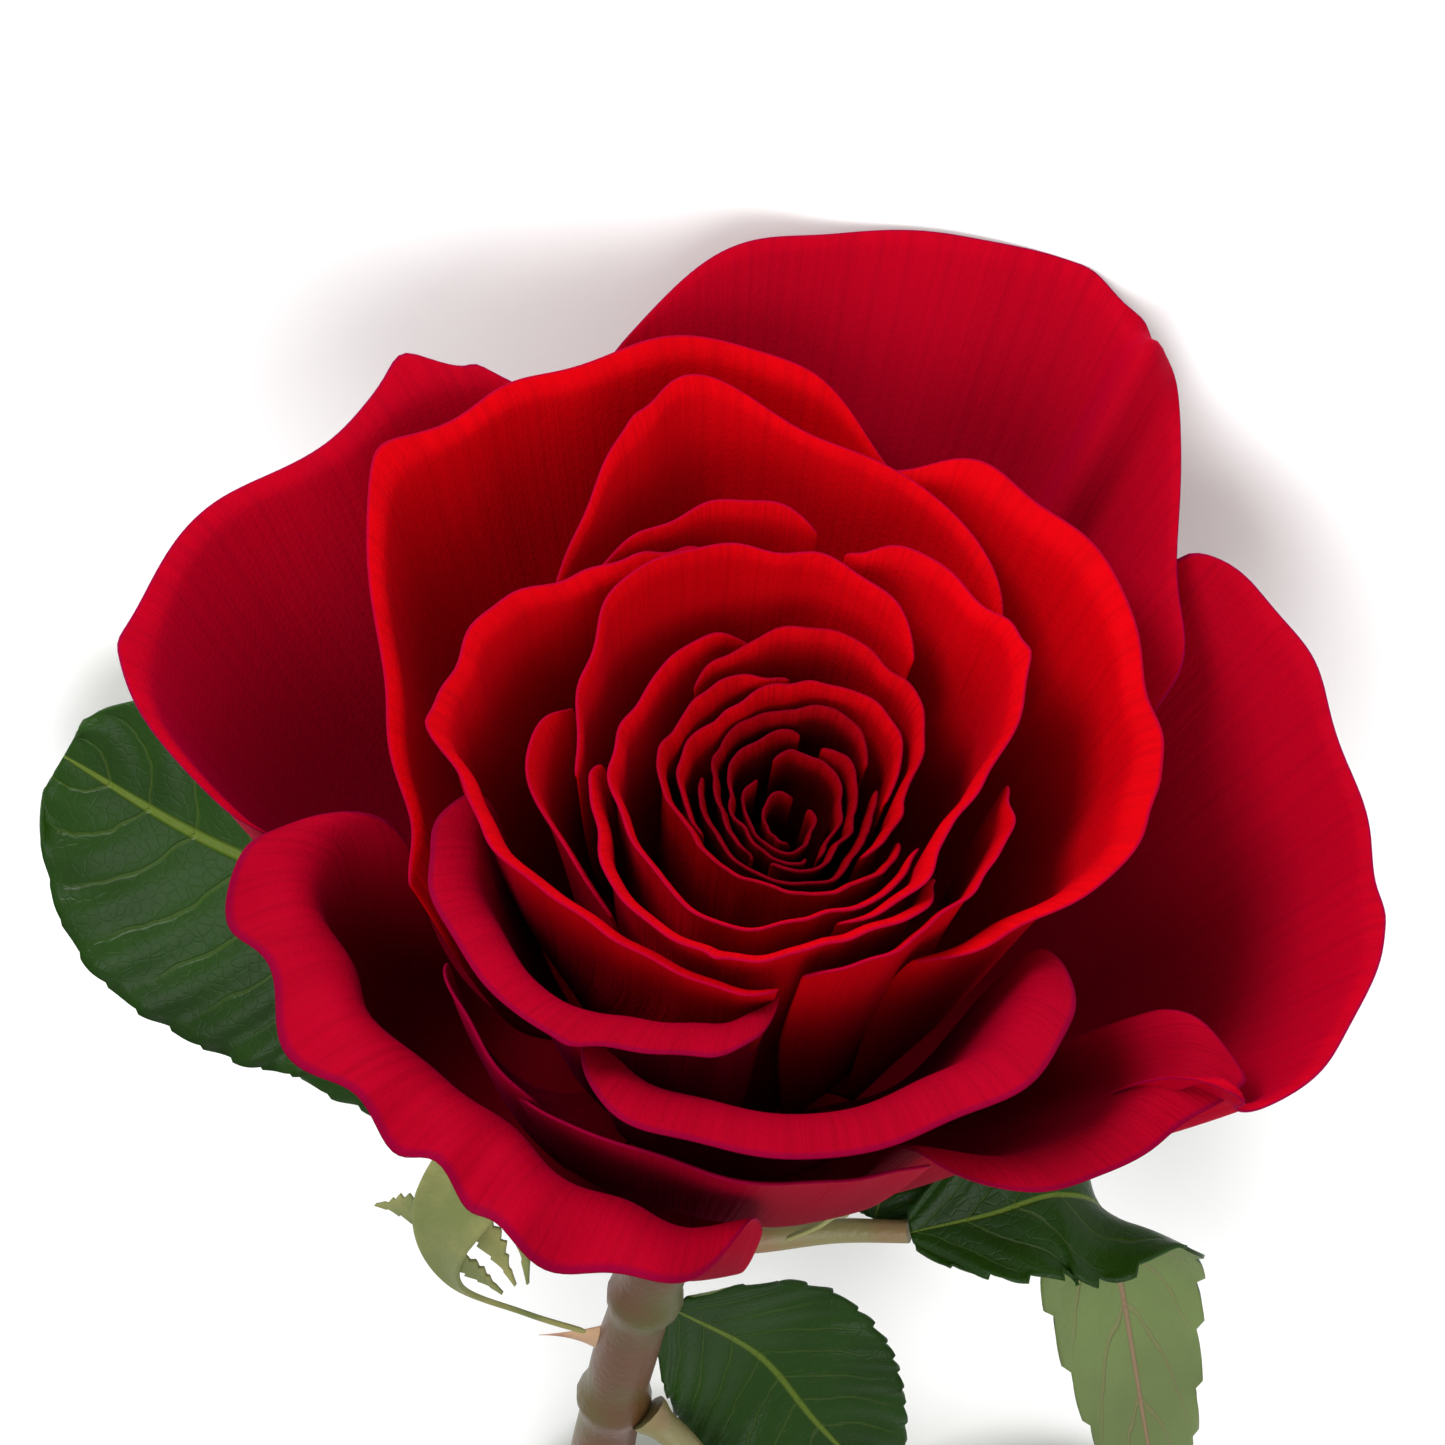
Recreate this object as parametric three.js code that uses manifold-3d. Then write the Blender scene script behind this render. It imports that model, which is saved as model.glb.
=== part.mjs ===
// Cut rose: one large open bloom on a leafy stem, laid down on a flat surface.
//
// The flower is drawn growing straight up: the top of the receptacle is the
// plant's origin, +Z runs up through the heart, and angles round the bloom are
// in degrees from +X, counter-clockwise seen from above. At the end the whole
// plant is laid over until its outer petals and the cut end of its stem touch
// z = 0, with the stem along -X and the bloom at +X.

import * as THREE from 'three';
import { mergeVertices } from 'three/addons/utils/BufferGeometryUtils.js';
import Module from 'manifold-3d';

// ---- Driving dimensions, in millimetres and degrees ----------------------

const BLOOM_DIAMETER = 110;
const BLOOM_HEIGHT = 54;
const PETAL_THICKNESS = 0.5;
const CLAW_WIDTH = 2;
const RIM_ROLL_RADIUS = 5;

const RECEPTACLE_DIAMETER = 15;
const RECEPTACLE_HEIGHT = 15;
const SEAT_CLEARANCE = 0.35;

const STEM_LENGTH = 262;
const STEM_DIAMETER = 5.8;
const THORN_LENGTH = 5.5;
const THORN_BASE = 3.2;

const SEPAL_REACH = 1;
const SEPAL_WIDTH = 8;
const SEPAL_THICKNESS = 0.7;

const LEAFLET_WIDTH = 38;
const LEAF_THICKNESS = 0.6;
const PETIOLE_WIDTH = 2.4;
const JOINT_GAP = 0.35;

// The petal tables below are drawn for a bloom of this spread and height.
const DRAWN_DIAMETER = 110;
const DRAWN_HEIGHT = 54;
const DRAWN_THICKNESS = 0.5;

const spread = BLOOM_DIAMETER / DRAWN_DIAMETER;
const rise = BLOOM_HEIGHT / DRAWN_HEIGHT;

// ---- Colours -------------------------------------------------------------

function finish(color, roughness) {
  return new THREE.MeshStandardMaterial({ color, roughness, metalness: 0 });
}

const PETAL_RED = 0xc4060f;
const SEPAL_GREEN = 0x8fa564;
const LEAF_GREEN = 0x2f4f22;
const STEM_GREEN = 0x7b7a3c;
const PETIOLE_BROWN = 0x8a5a3c;

// ---- Small helpers -------------------------------------------------------

const { lerp, smoothstep, degToRad } = THREE.MathUtils;

function polar(angle, radius, height) {
  const a = degToRad(angle);
  return new THREE.Vector3(radius * Math.cos(a), radius * Math.sin(a), height);
}

// Smooth curve through a list of rows of numbers, read at t from 0 to 1.
function curveThrough(rows) {
  const points = rows.map((row) => new THREE.Vector3(...row));
  const curve = new THREE.CatmullRomCurve3(points, false, 'catmullrom', 0.5);
  return (t) => curve.getPoint(t);
}

// A closed sheet: a box of across x along x 1 cells, bent so that its middle
// follows surface(u, v), with half the thickness on each side.
function bentSheet(surface, thickness, across, along) {
  const box = new THREE.BoxGeometry(1, 1, 1, across, along, 1);
  const at = box.attributes.position;
  const step = 0.01;
  for (let i = 0; i < at.count; i += 1) {
    const u = at.getX(i) + 0.5;
    const v = at.getY(i) + 0.5;
    const side = at.getZ(i);
    const u0 = Math.max(0, u - step);
    const u1 = Math.min(1, u + step);
    const v0 = Math.max(0, v - step);
    const v1 = Math.min(1, v + step);
    const alongU = surface(u1, v).sub(surface(u0, v));
    const alongV = surface(u, v1).sub(surface(u, v0));
    const normal = alongU.cross(alongV).normalize();
    const point = surface(u, v).addScaledVector(normal, side * thickness);
    at.setXYZ(i, point.x, point.y, point.z);
  }
  return box;
}

function mesh(name, geometry, material) {
  const piece = new THREE.Mesh(geometry, material);
  piece.name = name;
  return piece;
}

// ---- Petals --------------------------------------------------------------
//
// Each petal is a claw on the receptacle that opens into a bowl and ends at a
// rim. `rim` rows are [angle, radius, height]. `lean` is how far the petal tips
// outward just below its rim, in degrees from upright, and `roll` is how much
// further the rim itself turns outward. The list runs from the outermost petal
// to the innermost one.

const PETALS = [
  { name: 'outer_petal_left', lean: [38, 30], roll: 45,
    rim: [[130, 46.5, 46], [138, 53, 46], [150, 52.5, 43], [162, 56, 40],
      [174, 56.5, 38.5], [184, 54.5, 38], [190, 47, 34], [192, 40.5, 31]] },
  { name: 'outer_petal_right', lean: [30, 36], roll: 25,
    rim: [[342, 40, 30], [346, 45, 31], [354, 48.5, 34], [6, 51, 36.5],
      [18, 51.5, 38], [32, 49.5, 40], [44, 49, 41], [55, 47, 43]] },
  { name: 'outer_petal_front_left', lean: [10, 10], roll: 115, claw: 226,
    rim: [[188, 39, 34], [194, 44, 33], [204, 46.5, 32], [216, 46, 32],
      [230, 43, 31], [244, 41, 31], [258, 42, 31], [270, 42.5, 30], [282, 40, 30]] },
  { name: 'outer_petal_back', lean: [42, 40], roll: 20,
    rim: [[40, 39, 38], [52, 45, 43], [64, 53, 49], [74, 57, 52], [86, 55, 53],
      [98, 55.5, 52], [110, 52, 51], [124, 46.5, 46]] },
  { name: 'outer_petal_front_right', lean: [22, 44], roll: 70, claw: 332,
    rim: [[304, 32.5, 33.5], [314, 35, 32.5], [326, 37.5, 31], [338, 39.8, 31],
      [347, 42, 32], [354, 41.4, 34]] },
  { name: 'outer_petal_front', lean: [20, 20], roll: 15, claw: 275,
    rim: [[250, 32.6, 34], [262, 31.8, 35], [275, 31.9, 35.5], [288, 32.5, 35.5],
      [298, 32, 35]] },
  { name: 'middle_petal_sliver', lean: [15, 15], roll: 5, claw: 200,
    rim: [[214, 30, 34], [224, 31, 34.5], [234, 31.6, 34], [243, 31, 32]] },
  { name: 'middle_petal_left', lean: [22, 22], roll: 45,
    rim: [[86, 36.5, 46], [96, 40, 48.5], [106, 41.5, 49.5], [118, 43.5, 50],
      [130, 44, 49], [140, 45.5, 49], [150, 45.5, 47.5], [160, 42, 46],
      [172, 37.2, 44.5], [184, 34.8, 43.5], [196, 33.2, 42], [206, 33.2, 39]] },
  { name: 'middle_petal_front', lean: [22, 22], claw: 303, roll: 55,
    rim: [[244, 32.2, 39.5], [252, 32.8, 40.5], [262, 33, 40.5], [274, 33.2, 40.5],
      [288, 33.3, 40.5], [302, 32.5, 41], [316, 31.2, 41], [330, 30, 40.5],
      [342, 29, 39], [352, 28.2, 37]] },
  { name: 'middle_petal_right', lean: [22, 22], claw: 400, roll: 50,
    rim: [[322, 19, 41], [340, 22, 43], [354, 25.6, 44.5], [8, 28.5, 45.5],
      [22, 31, 46.5], [36, 33.5, 47], [50, 34.5, 48.5], [66, 35, 49],
      [80, 35.5, 49], [90, 34.4, 48.5]] },
  { name: 'middle_petal_front_left', lean: [20, 20], claw: 245, roll: 45,
    rim: [[193, 30, 43], [204, 31.1, 44], [214, 31.6, 44], [226, 32.8, 44.5],
      [238, 33.6, 44.5], [247, 31.2, 44.5], [257, 29, 44.5], [266, 27, 44],
      [273, 24.5, 43.5], [279, 21.5, 42]] },
  { name: 'middle_petal_back', lean: [20, 20], claw: 78, roll: 35,
    rim: [[58, 25.4, 46], [66, 27.7, 48], [80, 31.5, 49], [94, 33, 50],
      [106, 35.5, 51], [118, 37, 52], [126, 34.8, 51], [134, 32.5, 50],
      [142, 30.4, 48.5], [150, 28, 47]] },
  { name: 'middle_petal_back_inner', lean: [18, 18], claw: 118, roll: 15,
    rim: [[98, 24.8, 49], [110, 25.4, 50], [122, 26, 50.5], [134, 26.2, 50],
      [145, 26, 48.5]] },
  { name: 'inner_petal_left', lean: [13, 12], claw: 165, roll: 30,
    rim: [[114, 22.8, 46.5], [126, 23.3, 49], [138, 24.2, 50], [152, 26.4, 50.5],
      [166, 28.2, 50.5], [180, 29.8, 50.5], [192, 31, 51], [202, 28.8, 49.5],
      [214, 26.5, 48], [228, 24.3, 47], [244, 22.8, 46.5], [262, 22, 46],
      [278, 20, 45]] },
  { name: 'inner_petal_front_right', lean: [12, 12], roll: 20,
    rim: [[284, 18, 44.5], [298, 17.8, 45.5], [312, 17, 45.5], [326, 16.9, 45.5],
      [340, 17.7, 46.5], [354, 17.6, 46.5], [8, 18, 46], [20, 18.9, 45.5]] },
  { name: 'inner_petal_left_small', lean: [21, 20], roll: 15, claw: 215,
    rim: [[173, 20.9, 46.5], [182, 21.6, 48], [194, 22.3, 48], [206, 21.8, 46.5],
      [220, 20.7, 45.5], [232, 20.2, 44]] },
  { name: 'inner_petal_front', lean: [14, 10], claw: 275, roll: 30,
    rim: [[188, 17.1, 46], [200, 17.6, 46.5], [214, 18.6, 47], [228, 19.4, 47],
      [242, 20, 47.5], [256, 20.3, 48], [264, 20, 48], [274, 18.4, 47.5],
      [286, 16.8, 47], [298, 16, 46.5], [314, 15.3, 46], [330, 15, 45],
      [344, 14.9, 44]] },
  { name: 'inner_petal_right', lean: [10, 12], roll: 25,
    rim: [[298, 13.8, 45], [316, 13.6, 45.5], [334, 13.4, 46.5], [352, 13.6, 47],
      [8, 14.8, 47.5], [24, 17.4, 48], [38, 20.5, 49.5], [48, 23.2, 50.5],
      [58, 23.5, 50], [72, 24, 49.5], [84, 23.6, 49.5], [92, 23.4, 49]] },
  { name: 'inner_petal_back', lean: [12, 10], claw: 115, roll: 25,
    rim: [[66, 18, 46], [76, 19.3, 48], [90, 20.6, 49], [104, 21.6, 50],
      [118, 22, 50.5], [134, 22, 51], [148, 21.6, 50.5], [162, 20.6, 49.5],
      [178, 19.6, 48.5], [194, 18.8, 46.5]] },
  { name: 'inner_petal_low', lean: [9, 8], claw: 198, roll: 15,
    rim: [[114, 17.2, 44], [130, 16.6, 45.5], [148, 15.8, 46], [166, 15.5, 46.5],
      [184, 15.5, 47], [202, 15.5, 47], [220, 15.6, 46.5], [238, 15.9, 46.5],
      [252, 16.1, 46.5], [268, 15, 46], [284, 13.2, 45.5], [300, 12.2, 45],
      [318, 11.8, 44.5], [336, 11.6, 44], [356, 12.1, 43.5]] },
  { name: 'heart_petal_1', lean: [8, 8], roll: 15,
    rim: [[336, 8, 43], [350, 8.3, 43.5], [6, 9, 44.5], [22, 10.2, 45],
      [38, 12, 45.5], [54, 14, 46], [68, 15.3, 46], [82, 16.1, 46],
      [98, 15.9, 46.2], [114, 15.2, 46.2], [128, 14.4, 46], [142, 13.6, 45]] },
  { name: 'heart_petal_2', lean: [5, 6], claw: 266, roll: 15,
    rim: [[103, 12.6, 45], [120, 12.1, 45.5], [140, 11.7, 46], [160, 11.6, 46],
      [178, 11.7, 46], [196, 11.2, 45.5], [214, 10.3, 45], [232, 9.7, 44.5],
      [250, 9.4, 44], [268, 9.3, 44], [286, 9.4, 44], [304, 9.7, 44],
      [322, 9.9, 44], [340, 9.9, 43.5], [357, 10, 43]] },
  { name: 'heart_petal_3', lean: [5, 6], roll: 10,
    rim: [[18, 8.5, 44], [40, 10.3, 44.5], [62, 11.9, 45], [84, 12.1, 45],
      [103, 10.9, 45], [120, 10.4, 45], [140, 10, 44.5], [160, 9.9, 44.5],
      [180, 9.8, 44], [200, 9.3, 43.5], [215, 8.6, 43]] },
  { name: 'heart_petal_4', lean: [5, 5], claw: 330, roll: 10,
    rim: [[174, 8.4, 43.5], [195, 7.9, 43.5], [215, 7.2, 43], [240, 7.7, 43],
      [265, 7.7, 43], [290, 7.8, 43], [312, 7.8, 42.5], [335, 6.6, 42.5],
      [352, 6.8, 42.5], [10, 7.1, 42.5], [32, 8, 43]] },
  { name: 'heart_petal_5', lean: [4, 4], claw: 185, roll: 10,
    rim: [[48, 8.75, 43.5], [70, 9.75, 44], [92, 9.95, 44], [112, 9.05, 43.5],
      [135, 8.65, 43.5], [155, 8.15, 43], [172, 6.85, 43], [195, 6.35, 43],
      [215, 5.75, 42.5], [236, 5.95, 42.5], [248, 6.05, 42]] },
  { name: 'heart_petal_6', lean: [4, 4], claw: 400, roll: 10,
    rim: [[264, 5.85, 42.5], [285, 6.05, 42.5], [310, 5.95, 42], [335, 5.05, 42],
      [355, 5.25, 42], [15, 5.55, 42], [40, 6.45, 42.5], [60, 7.05, 43], [80, 7.65, 43]] },
  { name: 'heart_petal_7', lean: [4, 4], claw: 262, roll: 8,
    rim: [[95, 8.05, 43], [115, 7.55, 43], [140, 6.95, 42.5], [160, 6.15, 42.5],
      [180, 5.25, 42.5], [200, 4.85, 42], [222, 4.35, 42], [245, 4.55, 42],
      [268, 4.75, 41.5], [290, 4.75, 41.5], [305, 4.55, 41.5]] },
  { name: 'heart_petal_8', lean: [3, 3], claw: 450, roll: 8,
    rim: [[318, 4.5, 41.5], [340, 3.9, 41], [0, 4.1, 41], [25, 4.6, 41.5],
      [50, 5.4, 42], [75, 6.1, 42], [95, 6.3, 42], [115, 6.1, 42]] },
  { name: 'heart_petal_9', lean: [3, 3], claw: 355, roll: 5,
    rim: [[134, 5, 41.5], [160, 4.4, 41], [190, 3.6, 41], [220, 3, 40.5],
      [250, 3, 40.5], [280, 3.1, 40.5], [310, 2.8, 40.5], [335, 2.2, 40],
      [0, 2.2, 40], [30, 2.5, 40.5], [60, 3, 40.5]] },
  { name: 'heart_petal_10', lean: [2, 2], claw: 140, roll: 5,
    rim: [[90, 3.1, 40.5], [120, 3.1, 40.5], [155, 2.4, 40], [190, 1.6, 39.5],
      [230, 1.3, 39.5], [270, 1.4, 39.5], [310, 1.1, 39]] },
];

const DEGREES_PER_CELL = 16;
const CELLS_UP = 5;
const WIDEST_CLAW = 24;
const ROLL_SHARE = 0.2;
// Rims that turn out by this much or more do so round the full roll radius.
const WIDE_ROLL = 60;
// The outer petals have round shoulders: their sides stop this much short of the rim.
const SHOULDER_DROP = 0.3;
// Where the bowl swells, for the innermost and the outermost petal.
const BELLY_INNER = { radius: 1.2, height: 15 };
const BELLY_OUTER = { radius: 25, height: 1 };
const CLAW_RADIUS_OUTER = RECEPTACLE_DIAMETER / 2 - PETAL_THICKNESS;
const CLAW_RADIUS_INNER = 1.2;
const CLAW_BASE = SEAT_CLEARANCE + PETAL_THICKNESS / 2;

// Petals thicker than drawn push the ones outside them outward.
function crowdingOf(order) {
  return (PETAL_THICKNESS - DRAWN_THICKNESS) * (PETALS.length - 1 - order) * 0.5;
}

// The rim's angles always grow, so 350 followed by 6 is read as 366.
function unwrap(rim, crowding) {
  let turns = 0;
  return rim.map(([angle, radius, height], i) => {
    if (i > 0 && angle < rim[i - 1][0]) turns += 360;
    return [angle + turns, radius * spread + crowding, height * rise];
  });
}

function petalSurface(petal, order) {
  const outer = 1 - order / (PETALS.length - 1);
  const rows = unwrap(petal.rim, crowdingOf(order));
  const rim = curveThrough(rows);
  const first = rows[0][0];
  const last = rows[rows.length - 1][0];
  const middle = petal.claw ?? (first + last) / 2;
  const clawRadius = lerp(CLAW_RADIUS_INNER, CLAW_RADIUS_OUTER, outer);
  const clawAngle = Math.min(WIDEST_CLAW, THREE.MathUtils.radToDeg(CLAW_WIDTH / 2 / clawRadius));
  const belly = new THREE.Vector2(
    lerp(BELLY_INNER.radius, BELLY_OUTER.radius, outer) * spread,
    lerp(BELLY_INNER.height, BELLY_OUTER.height, outer) * rise,
  );
  const roll = degToRad(petal.roll);
  const rollRadius = petal.roll >= WIDE_ROLL ? RIM_ROLL_RADIUS : RIM_ROLL_RADIUS * 0.6;
  const shoulder = lerp(12, 20, outer);
  const rounding = SHOULDER_DROP * Math.max(0, 2 * outer - 1);

  return (u, share) => {
    const v = share * (1 - rounding * Math.abs(2 * u - 1) ** 8);
    const edge = rim(u);
    const lean = degToRad(lerp(petal.lean[0], petal.lean[1], u));
    const full = Math.cos(lean) - Math.cos(lean + roll);
    const drop = Math.sin(lean + roll) - Math.sin(lean);
    const crest = new THREE.Vector2(edge.y - rollRadius * full, edge.z - rollRadius * drop);
    const below = new THREE.Vector2(
      crest.x - shoulder * Math.sin(lean),
      crest.y - shoulder * Math.cos(lean),
    );
    const open = smoothstep(share, 0, 0.7);
    const angle = lerp(middle + (2 * u - 1) * clawAngle, edge.x, open);
    let radius;
    let height;
    if (v <= 1 - ROLL_SHARE) {
      const t = v / (1 - ROLL_SHARE);
      const bowl = new THREE.CubicBezierCurve(
        new THREE.Vector2(clawRadius, CLAW_BASE), belly, below, crest,
      ).getPoint(t);
      radius = bowl.x;
      height = bowl.y;
    } else {
      const turn = roll * (v - 1 + ROLL_SHARE) / ROLL_SHARE;
      radius = crest.x + rollRadius * (Math.cos(lean) - Math.cos(lean + turn));
      height = crest.y + rollRadius * (Math.sin(lean + turn) - Math.sin(lean));
    }
    return polar(angle, radius, height);
  };
}

function petalPiece(petal, order) {
  const rows = unwrap(petal.rim, 0);
  const span = rows[rows.length - 1][0] - rows[0][0];
  const across = Math.max(4, Math.ceil(span / DEGREES_PER_CELL));
  const surface = petalSurface(petal, order);
  const sheet = bentSheet(surface, PETAL_THICKNESS, across, CELLS_UP);
  return mesh(petal.name, sheet, finish(PETAL_RED, 0.6));
}

const petals = PETALS.map(petalPiece);

// ---- Stem ----------------------------------------------------------------
//
// The receptacle is the swollen top of the stem and grows in one piece with it.

const STEM_BENDS = [
  [0, 0, -RECEPTACLE_HEIGHT + 1],
  [-2.4, 0, -42],
  [-2.6, 0.5, -70],
  [-1, 2, -130],
  [1, 2.5, -200],
  [0, 0, -STEM_LENGTH],
];
const STEM_SIDES = 12;
const STEM_STEPS = 26;
const THORNS = [
  { height: -47, angle: 182 },
  { height: -76, angle: 20 },
  { height: -108, angle: 250 },
  { height: -139, angle: 130 },
  { height: -171, angle: 330 },
  { height: -206, angle: 205 },
];
const RIGHT_LEAF_NODE = -26;
const LOW_LEAF_NODE = -57;
const LEFT_LEAF_NODE = -38;
const NODE_SWELLING = 1.28;

const stemLine = new THREE.CatmullRomCurve3(STEM_BENDS.map((row) => new THREE.Vector3(...row)));

// The middle of the stem at a given height.
function stemAt(height) {
  let low = 0;
  let high = 1;
  for (let i = 0; i < 30; i += 1) {
    const middle = (low + high) / 2;
    if (stemLine.getPoint(middle).z > height) low = middle;
    else high = middle;
  }
  return stemLine.getPoint(low);
}

function tube(points, width, height, sides, steps) {
  const corner = (i) => new THREE.Vector2(
    width / 2 * Math.cos(2 * Math.PI * i / sides),
    height / 2 * Math.sin(2 * Math.PI * i / sides),
  );
  const outline = new THREE.Shape(Array.from({ length: sides }, (_, i) => corner(i)));
  const line = points instanceof THREE.Curve ? points : new THREE.CatmullRomCurve3(points);
  return new THREE.ExtrudeGeometry(outline, { steps, extrudePath: line, bevelEnabled: false });
}

const wasm = await Module();
wasm.setup();

function solid(geometry) {
  const plain = geometry.index ? geometry.toNonIndexed() : geometry.clone();
  plain.deleteAttribute('normal');
  plain.deleteAttribute('uv');
  const merged = mergeVertices(plain, 1e-4);
  return new wasm.Manifold(new wasm.Mesh({
    numProp: 3,
    vertProperties: new Float32Array(merged.attributes.position.array),
    triVerts: new Uint32Array(merged.index.array),
  }));
}

function geometryOf(body) {
  const { vertProperties, triVerts, numProp } = body.getMesh();
  const geometry = new THREE.BufferGeometry();
  const position = new Float32Array(vertProperties.length / numProp * 3);
  for (let i = 0; i < position.length / 3; i += 1) {
    position.set(vertProperties.slice(i * numProp, i * numProp + 3), i * 3);
  }
  geometry.setAttribute('position', new THREE.BufferAttribute(position, 3));
  geometry.setIndex(new THREE.BufferAttribute(new Uint32Array(triVerts), 1));
  return geometry;
}

function receptacle() {
  const top = RECEPTACLE_DIAMETER / 2;
  const neck = STEM_DIAMETER / 2;
  const profile = [
    [0, -RECEPTACLE_HEIGHT],
    [neck * 0.95, -RECEPTACLE_HEIGHT],
    [neck * 1.3, -RECEPTACLE_HEIGHT * 0.86],
    [top * 0.8, -RECEPTACLE_HEIGHT * 0.66],
    [top * 0.9, -RECEPTACLE_HEIGHT * 0.42],
    [top * 0.82, -RECEPTACLE_HEIGHT * 0.2],
    [top * 0.88, -RECEPTACLE_HEIGHT * 0.08],
    [top, 0],
    [0, 0],
  ].map(([radius, height]) => new THREE.Vector2(radius, height));
  return new THREE.LatheGeometry(profile, 20).rotateX(Math.PI / 2);
}

function thorn({ height, angle }) {
  const cone = new THREE.ConeGeometry(THORN_BASE / 2, THORN_LENGTH, 6);
  cone.translate(0, THORN_LENGTH / 2 + STEM_DIAMETER / 2 - 0.6, 0);
  cone.rotateZ(-Math.PI / 2);
  cone.scale(1, 0.6, 1);
  cone.rotateY(degToRad(12));
  cone.rotateZ(degToRad(angle));
  const foot = stemAt(height);
  return cone.translate(foot.x, foot.y, foot.z);
}

function stemNode(height) {
  const knob = new THREE.SphereGeometry(STEM_DIAMETER / 2 * NODE_SWELLING, 12, 8);
  const foot = stemAt(height);
  return knob.translate(foot.x, foot.y, foot.z);
}

function stemPiece() {
  let body = solid(tube(stemLine, STEM_DIAMETER, STEM_DIAMETER, STEM_SIDES, STEM_STEPS));
  body = body.add(solid(receptacle()));
  for (const height of [RIGHT_LEAF_NODE, LOW_LEAF_NODE, LEFT_LEAF_NODE]) {
    body = body.add(solid(stemNode(height)));
  }
  for (const place of THORNS) body = body.add(solid(thorn(place)));
  return mesh('stem', geometryOf(body), finish(STEM_GREEN, 0.5));
}

const stem = stemPiece();

// ---- Lying down ----------------------------------------------------------
//
// The plant tips over backwards, +Y down, until the outer petals and the cut
// end both touch the surface. `bedDepth` gives the surface's Y at a height.

function vertices(piece) {
  const at = piece.geometry.attributes.position;
  return Array.from({ length: at.count }, (_, i) => new THREE.Vector3().fromBufferAttribute(at, i));
}

const bloomPoints = petals.flatMap(vertices);
const cutEnd = vertices(stem)
  .filter((point) => point.z < -STEM_LENGTH + STEM_DIAMETER)
  .reduce((a, b) => (b.y > a.y ? b : a));
const tilt = Math.max(
  ...bloomPoints.map((point) => Math.atan2(point.y - cutEnd.y, point.z - cutEnd.z)),
);
const bedDepth = (height) => cutEnd.y + (height - cutEnd.z) * Math.tan(tilt);

// ---- Sepals --------------------------------------------------------------
//
// Rows of `line` are [angle, radius, height] along a sepal's middle, and
// `facing` rows are the way its upper face looks, from its foot to its tip.

const SEPALS = [
  { name: 'sepal_left',
    line: [[205, 8.2, -1.6], [204, 15, -4], [204, 20.5, -11], [205, 23, -20],
      [206, 21, -29], [206, 14, -36], [208, 7.5, -41]],
    facing: [[-0.5, -0.4, 1], [-0.3, -0.5, 0.8], [-0.2, -0.6, 0.4], [-0.3, -0.9, 0.1],
      [-0.2, -1, -0.4], [0.1, -0.6, -1]] },
  { name: 'sepal_back_left',
    line: [[133, 8.2, -1.6], [138, 16, -4], [143, 24, -11], [147, 30, -21]],
    facing: [[-0.7, 0.7, 1], [-0.6, 0.5, 0.8]] },
  { name: 'sepal_back_right',
    line: [[68, 8.2, -1.6], [69, 15, -4], [70, 21, -12], [72, 22, -23], [73, 19, -32]],
    facing: [[0.4, 0.9, 1], [0.4, 0.9, 0]] },
  { name: 'sepal_right',
    line: [[349, 8.2, -1.6], [350, 12, -3.5], [352, 13.5, -9], [354, 12, -16], [356, 9, -22]],
    facing: [[1, -0.2, 1], [1, -0.2, 0]] },
  { name: 'sepal_front',
    line: [[277, 8.2, -1.6], [276, 11.5, -3.5], [274, 12, -9], [272, 10, -16], [270, 7.5, -22]],
    facing: [[0, -1, 1], [0, -1, 0]] },
];
const SEPAL_CELLS = 12;

function sepalPiece({ name, line, facing }) {
  const middle = curveThrough(line.map(([angle, radius, height], i) => {
    const reach = i === 0 ? 1 : SEPAL_REACH;
    return polar(angle, lerp(line[0][1], radius, reach), lerp(line[0][2], height, reach)).toArray();
  }));
  const look = curveThrough(facing);
  const surface = (u, v) => {
    const point = middle(v);
    const along = middle(Math.min(1, v + 0.01)).sub(middle(Math.max(0, v - 0.01)));
    const side = along.cross(look(v)).normalize();
    const strap = (0.75 + 0.25 * Math.sin(2 * Math.PI * Math.min(v, 0.5))) * (1 - smoothstep(v, 0.35, 0.72));
    const half = SEPAL_WIDTH / 2 * lerp(0.14, 1, strap) * (1 - 0.5 * v ** 4);
    return point.addScaledVector(side, (2 * u - 1) * half);
  };
  const sheet = bentSheet(surface, SEPAL_THICKNESS, 2, SEPAL_CELLS);
  return mesh(name, sheet, finish(SEPAL_GREEN, 0.7));
}

// ---- Leaves --------------------------------------------------------------
//
// Leaf points are [x, lift, z]: lift is the height above the surface that the
// flower lies on, so that the leaves stay on it when the bloom's size changes.

function bedPoint([x, lift, z]) {
  return new THREE.Vector3(x, bedDepth(z) - lift, z);
}

// A leaf stalk from the side of the stem through the given points.
function stalkPiece(name, height, points, width) {
  const foot = stemAt(height);
  const next = bedPoint(points[0]);
  const out = next.clone().sub(foot).setZ(0).normalize();
  foot.addScaledVector(out, STEM_DIAMETER / 2 * NODE_SWELLING + JOINT_GAP + 0.3);
  const line = [foot, ...points.map(bedPoint)];
  const sheet = tube(line, width, width * 0.75, 6, 4 * points.length + 2);
  return mesh(name, sheet, finish(PETIOLE_BROWN, 0.6));
}

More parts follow.
